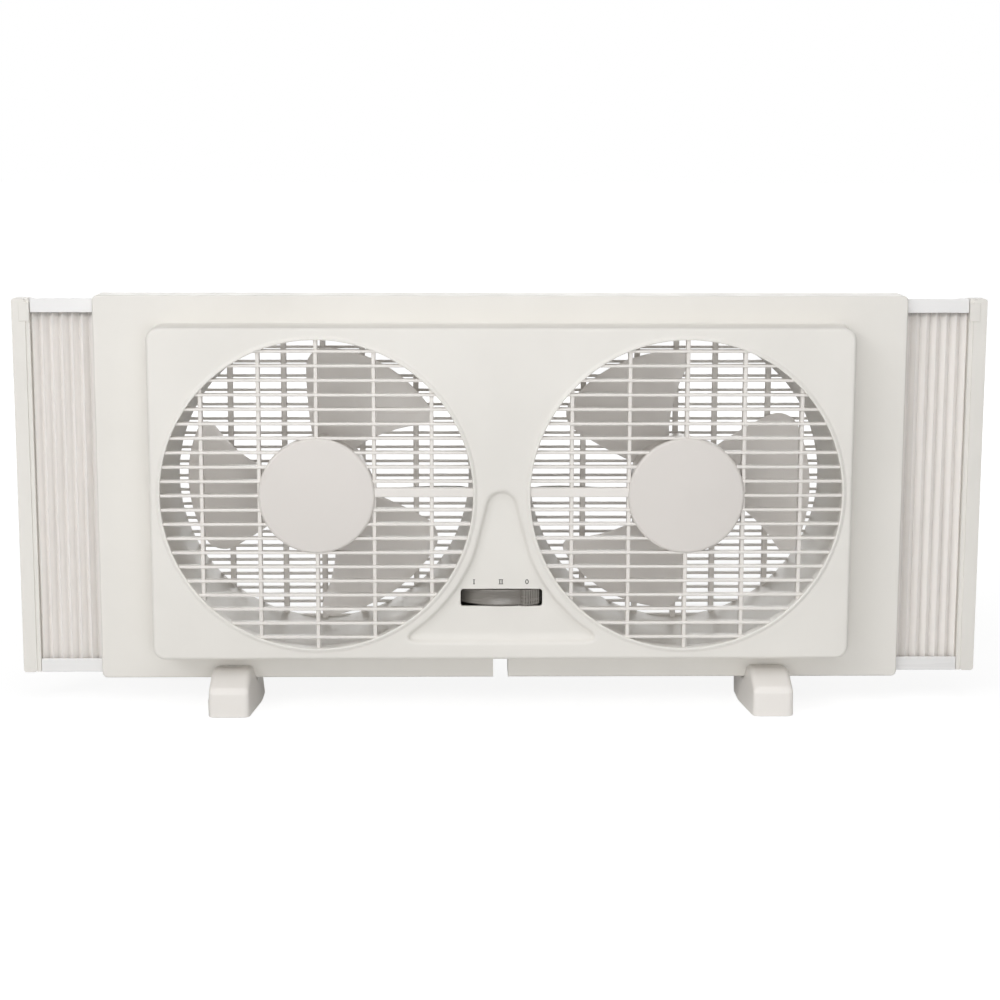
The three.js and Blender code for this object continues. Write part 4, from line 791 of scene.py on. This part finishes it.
def dial():
    """The thumb dial: a cup with softened edges, whose ribbed tab points right at rest."""
    s = Shape()
    half, web, edge = 6.0, 2.4, 1.3
    bore, boss = 3.3, 5.7
    n = 180
    outer = [(DIAL_R - edge + r, zz) for r, zz in arc(0, -half + edge, edge, -90, 0, 5)]
    outer += [(DIAL_R - 0.5, -half + 3.2), (DIAL_R - 0.8, 0.0), (DIAL_R - 0.5, half - 3.2)]
    outer += [(DIAL_R - edge + r, zz) for r, zz in arc(0, half - edge, edge, 0, 90, 5)]
    profile = [(bore, -half), (boss, -half), (boss, half - web), (DIAL_R - web, half - web),
               (DIAL_R - web, -half)] + outer + [(bore, half)]
    rings = []
    for r, z in profile:
        rings.append(s.add([(r * math.cos(a), DIAL_Y + r * math.sin(a), SLOT_Z + z)
                            for a in np.linspace(0, 2 * math.pi, n, endpoint=False)]))
    for a, b in zip(rings, rings[1:] + rings[:1]):
        s.bridge(a, b)
    # The tab's plan, with ribs across its front, turned to its rest place.
    width, reach, ribs = 14.2, 4.5, 7
    plan = []
    for k in range(ribs * 8 + 1):
        x = -width / 2 + width * k / (ribs * 8)
        dip = 0.42 * (1 + math.cos(2 * math.pi * k / 8))
        end = 1.2 * (abs(x) / (width / 2)) ** 6
        plan.append((x, -DIAL_R - reach + dip + end))
    plan += [(width / 2, -DIAL_R + 2.0), (-width / 2, -DIAL_R + 2.0)]
    turn = math.radians(31)
    c, t = math.cos(turn), math.sin(turn)
    loops = []
    for z, shrink in ((-half, 0.7), (-half + 0.25, 0.25), (-half + 0.7, 0.0), (half - 0.7, 0.0),
                      (half - 0.25, 0.25), (half, 0.7)):
        loop = []
        for x, y in plan:
            x2 = x * (1 - shrink / (width / 2))
            y2 = y + shrink if y < -DIAL_R else y
            loop.append((x2 * c - y2 * t, DIAL_Y + x2 * t + y2 * c, SLOT_Z + z))
        loops.append(loop)
    s.block_loop(loops)
    obj = s.object("thumb_dial", DIAL, "dial", "dial", 45, weld=False)
    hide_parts("speed_dial")
    return weigh(obj)


dial()


def mark(name, strokes):
    """A printed mark above the slot, a little proud of the face."""
    s = Shape()
    for x0, x1, z0, z1 in strokes:
        s.bar((x0, x1), (RECESS_Y - MARK_PROUD, RECESS_Y + MARK_DEEP), (z0, z1), 0.03, 0, 2)
    return s.object(name, MARK, "body", "dial", weld=False)


def printed_marks():
    tall, stem, serif = 3.7, 0.8, 0.5
    low, high = MARK_Z - tall / 2, MARK_Z + tall / 2
    plans = (("mark_1", -20.3, (0.0,), 0.75), ("mark_2", -0.4, (-0.85, 0.85), 1.6))
    for name, x, stems, half_width in plans:
        x0, x1 = x - half_width, x + half_width
        strokes = [(x + at - stem / 2, x + at + stem / 2, low, high) for at in stems]
        strokes += [(x0, x1, low, low + serif), (x0, x1, high - serif, high)]
        mark(name, strokes)
    s = Shape()
    x, n = 18.8, 48
    loops = []
    for a, b, y in ((1.35, 1.85, MARK_DEEP), (1.35, 1.85, -MARK_PROUD),
                    (0.6, 1.15, -MARK_PROUD), (0.6, 1.15, MARK_DEEP)):
        loops.append(s.add([(x + a * math.cos(t), RECESS_Y + y, MARK_Z + b * math.sin(t))
                            for t in np.linspace(0, 2 * math.pi, n, endpoint=False)]))
    for a, b in zip(loops, loops[1:] + loops[:1]):
        s.bridge(a, b)
    s.object("mark_0", MARK, "body", "dial")


printed_marks()

# ------------------------------------------------------------------ side panels


def pleats(sign, side):
    """The folded sheet: a rounded zigzag with a slightly uneven depth along its height."""
    x0, x1, folds, swing, thick = 258.6, 346.9, 12, 2.8, 0.9
    top = 134.3
    steps, rows = folds * 16, 14
    rows_z = np.linspace(-top, top, rows)
    s = Shape()
    front, back = [], []
    for z in rows_z:
        row_f, row_b = [], []
        for i in range(steps + 1):
            t = i / steps
            x = x0 + (x1 - x0) * t
            phase = 2 * math.pi * (x - 341.9) * folds / (x1 - x0)
            fold = 0.86 * (2 / math.pi) * math.asin(0.992 * math.cos(phase)) / 0.92 \
                + 0.08 * math.cos(phase)
            drift = 1 + 0.05 * math.sin(z / 37.0 + 2.1 * folds * t)
            y = swing * fold * drift
            row_f.append((sign * x, y - thick / 2 * 1.5, z))
            row_b.append((sign * x, y + thick / 2 * 1.5, z))
        front.append(s.add(row_f))
        back.append(s.add(row_b))
    for k in range(rows - 1):
        for i in range(steps):
            for g in (front, back):
                s.faces.append((g[k][i], g[k][i + 1], g[k + 1][i + 1], g[k + 1][i]))
        for i in (0, steps):
            s.faces.append((front[k][i], front[k + 1][i], back[k + 1][i], back[k][i]))
    for i in range(steps):
        for k in (0, rows - 1):
            s.faces.append((front[k][i], front[k][i + 1], back[k][i + 1], back[k][i]))
    obj = s.object(f"pleats_{side}", PLEAT, None, "pleat", 60)
    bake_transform(obj)
    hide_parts(f"accordion_{side}")
    return obj


def foot(sign, side):
    """A foot with soft edges: it narrows upwards, its top rises from the low ends, and the flange
    stands in its slot."""
    s = Shape()
    narrow, wide, middle, end, soft = 14.8, 20.5, 12.0, 59.0, 4.2
    corners = [(narrow, -end), (wide, -middle), (wide, middle), (narrow, end)]
    corners += [(-x, y) for x, y in reversed(corners)]
    plan = []
    for (xa, ya), (xb, yb) in zip(corners, corners[1:] + corners[:1]):
        n = round(math.hypot(xb - xa, yb - ya))
        plan += [(xa + (xb - xa) * t, ya + (yb - ya) * t) for t in np.arange(n) / n]
    plan = np.array(plan)
    for _ in range(16):
        plan = plan + 0.5 * ((np.roll(plan, 1, 0) + np.roll(plan, -1, 0)) / 2 - plan)

    slim = np.stack([np.clip(plan[:, 0], -narrow, narrow), plan[:, 1]], 1)

    def drawn_in(d, outline):
        half_width = np.max(outline[:, 0])
        return outline * [(half_width - d) / half_width, (end - d) / end]

    def top(points):
        return np.interp(np.abs(points[:, 1]), [14, 30, 35, 40, 46, 60],
                         [28.4, 30.2, 29.8, 28.3, 26.0, 20.6])
    rings = []
    for d, z in ((0.8, 0.0), (0.25, 0.25), (0.0, 0.8)):
        rings.append(s.add(drawn_in(d, plan), z))
    waist = plan * 0.5 + slim * 0.5
    rings.append(s.add(np.stack([waist[:, 0], (top(waist) - soft) * 0.6, waist[:, 1]], 1)))
    for a in np.radians(np.linspace(0, 90, 8)):
        loop = drawn_in(soft * (1 - math.cos(a)), slim)
        z = top(loop) - soft * (1 - math.sin(a))
        rings.append(s.add(np.stack([loop[:, 0], z, loop[:, 1]], 1)))
    for a, b in zip(rings, rings[1:]):
        s.bridge(a, b)
    s.faces.append(tuple(rings[0]))
    grid = np.array([(x, y) for x in np.arange(-18, 18.1, 3) for y in np.arange(-56, 56.1, 2)])
    inner = drawn_in(soft, slim)
    s.plate(top, inner, (), grid[inside(grid, inner) & (distance(grid, inner) > 1)])
    s.verts = [(x + sign * FOOT_X, y, z) for x, z, y in s.verts]
    obj = s.object(f"stand_foot_{side}", FOOT, "body", "shell", lift=0.0)
    x = sign * FOOT_X
    cut_boxes(obj, [((x - 30, x + 30), (-14.2, 14.2), (19 - AXIS_Z, 60 - AXIS_Z))])
    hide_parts(f"foot_{side}")
    return weigh(obj)


for sign, side in SIDES:
    pleats(sign, side)
    refined(f"end_bar_{side}", f"panel_bar_{side}", SHELL, 0.9)
    refined(f"track_top_{side}", f"panel_rail_top_{side}", TRACK, 0.5)
    refined(f"track_bottom_{side}", f"panel_rail_bottom_{side}", TRACK, 0.5)
    foot(sign, side)
    refined(f"anchor_strip_{side}", f"pleat_anchor_{side}", SHELL, 0.3)

# ------------------------------------------------------------------ carried-over pieces

CARRIED = {"motor_front_bell": STEEL, "motor_rear_bell": STEEL, "motor_shaft": STEEL,
           "rotor_nut": SCREW, "stator_core": LAMINATION, "armature": LAMINATION,
           "stator_coil": COPPER, "front_bearing": BRONZE, "rear_bearing": BRONZE,
           "motor_lead": LEAD, "mains_lead": LEAD, "cord_inlet": INLET, "switch_body": SWITCH,
           "switch_spindle": STEEL, "switch_screw": SCREW, "motor_screw": SCREW,
           "housing_screw": SCREW}
for node, obj in frame["nodes"].items():
    if obj.hide_render:
        continue
    stem = next(k for k in CARRIED if node.startswith(k))
    for slot_ in obj.material_slots:
        slot_.material = CARRIED[stem]

# ------------------------------------------------------------------ floor, light and camera


def floor():
    """White to the camera, a little dimmer near the object so that its shadow shows."""
    mesh = bpy.data.meshes.new("floor")
    mesh.from_pydata([(-9, -6, 0), (9, -6, 0), (9, 12, 0), (-9, 12, 0)], [], [(0, 1, 2, 3)])
    obj = bpy.data.objects.new("floor", mesh)
    bpy.context.scene.collection.objects.link(obj)
    p = Paint("floor")
    out = p.tree.nodes["Material Output"]
    shade = p.node("ShaderNodeBsdfDiffuse")
    shade.inputs["Color"].default_value = (0.8, 0.8, 0.8, 1)
    soft = p.node("ShaderNodeBsdfDiffuse")
    soft.inputs["Color"].default_value = (0.28, 0.28, 0.28, 1)
    glow = p.node("ShaderNodeEmission")
    away = p.node("ShaderNodeVectorMath", operation="LENGTH")
    p.link(p.coords, away.inputs[0])
    p.link(p.ranged(away.outputs["Value"], 0.45, 1.4, 0.84, 1.0), glow.inputs["Strength"])
    both = p.node("ShaderNodeAddShader")
    mix = p.node("ShaderNodeMixShader")
    ray = p.node("ShaderNodeLightPath")
    p.link(soft.outputs[0], both.inputs[0])
    p.link(glow.outputs[0], both.inputs[1])
    p.link(ray.outputs["Is Camera Ray"], mix.inputs[0])
    p.link(shade.outputs[0], mix.inputs[1])
    p.link(both.outputs[0], mix.inputs[2])
    p.link(mix.outputs[0], out.inputs["Surface"])
    p.tree.nodes.remove(p.shader)
    mesh.materials.append(p.material)


def world():
    """White where it is seen, mirrored or shines through, and dim as a light."""
    w = bpy.data.worlds.new("world")
    bpy.context.scene.world = w
    w.use_nodes = True
    tree = w.node_tree
    back = tree.nodes["Background"]
    ray = tree.nodes.new("ShaderNodeLightPath")
    seen = tree.nodes.new("ShaderNodeMath")
    seen.operation = "MAXIMUM"
    all_seen = tree.nodes.new("ShaderNodeMath")
    all_seen.operation = "MAXIMUM"
    strength = tree.nodes.new("ShaderNodeMapRange")
    strength.inputs["To Min"].default_value = 0.2
    strength.inputs["To Max"].default_value = 1.0
    tree.links.new(ray.outputs["Is Camera Ray"], seen.inputs[0])
    tree.links.new(ray.outputs["Is Glossy Ray"], seen.inputs[1])
    tree.links.new(seen.outputs[0], all_seen.inputs[0])
    tree.links.new(ray.outputs["Is Transmission Ray"], all_seen.inputs[1])
    tree.links.new(all_seen.outputs[0], strength.inputs["Value"])
    tree.links.new(strength.outputs["Result"], back.inputs["Strength"])
    back.inputs["Color"].default_value = (1, 1, 1, 1)


def area(name, place, target, size, power, colour=(1, 1, 1)):
    light = bpy.data.lights.new(name, "AREA")
    light.shape, light.size, light.size_y = "RECTANGLE", size[0], size[1]
    light.energy, light.color = power, colour
    obj = bpy.data.objects.new(name, light)
    bpy.context.scene.collection.objects.link(obj)
    obj.location = place
    obj.rotation_euler = (Vector(target) - Vector(place)).to_track_quat("-Z", "Y").to_euler()


def camera():
    az, el, roll = (math.radians(v) for v in (-1.086, 9.975, 0.137))
    back = Vector((math.sin(az) * math.cos(el), -math.cos(az) * math.cos(el), math.sin(el)))
    right = (-back).cross(Vector((0, 0, 1))).normalized()
    up = right.cross(-back)
    x = right * math.cos(roll) + up * math.sin(roll)
    y = up * math.cos(roll) - right * math.sin(roll)
    place = Vector((-1.32, -44.0, AXIS_Z - 2.92)) * MM + back * 1.6237
    cam = bpy.data.cameras.new("camera")
    cam.sensor_width, cam.lens = 36.0, 79.895
    cam.clip_end = 50
    obj = bpy.data.objects.new("camera", cam)
    bpy.context.scene.collection.objects.link(obj)
    obj.matrix_world = Matrix((
        (x.x, y.x, back.x, place.x), (x.y, y.y, back.y, place.y), (x.z, y.z, back.z, place.z),
        (0, 0, 0, 1)))
    bpy.context.scene.camera = obj


floor()
world()
area("key", (-1.6, -1.9, 1.5), (0, 0, 0.16), (1.2, 1.2), 17.6)
area("high", (0.1, -1.6, 1.85), (0, 0, 0.16), (1.6, 1.0), 7.8)
area("above", (0.0, -0.35, 2.2), (0, 0, 0.16), (1.6, 0.7), 8.5)
area("front", (0.0, -2.6, 0.7), (0, 0, 0.16), (1.2, 1.0), 4.0)
area("low", (0.0, -2.2, 0.25), (0, 0, 0.16), (1.8, 0.4), 12.2)
area("back", (0.0, 2.0, 0.5), (0, 0, 0.16), (1.6, 0.8), 8)
camera()
bpy.context.scene.view_settings.view_transform = "Standard"
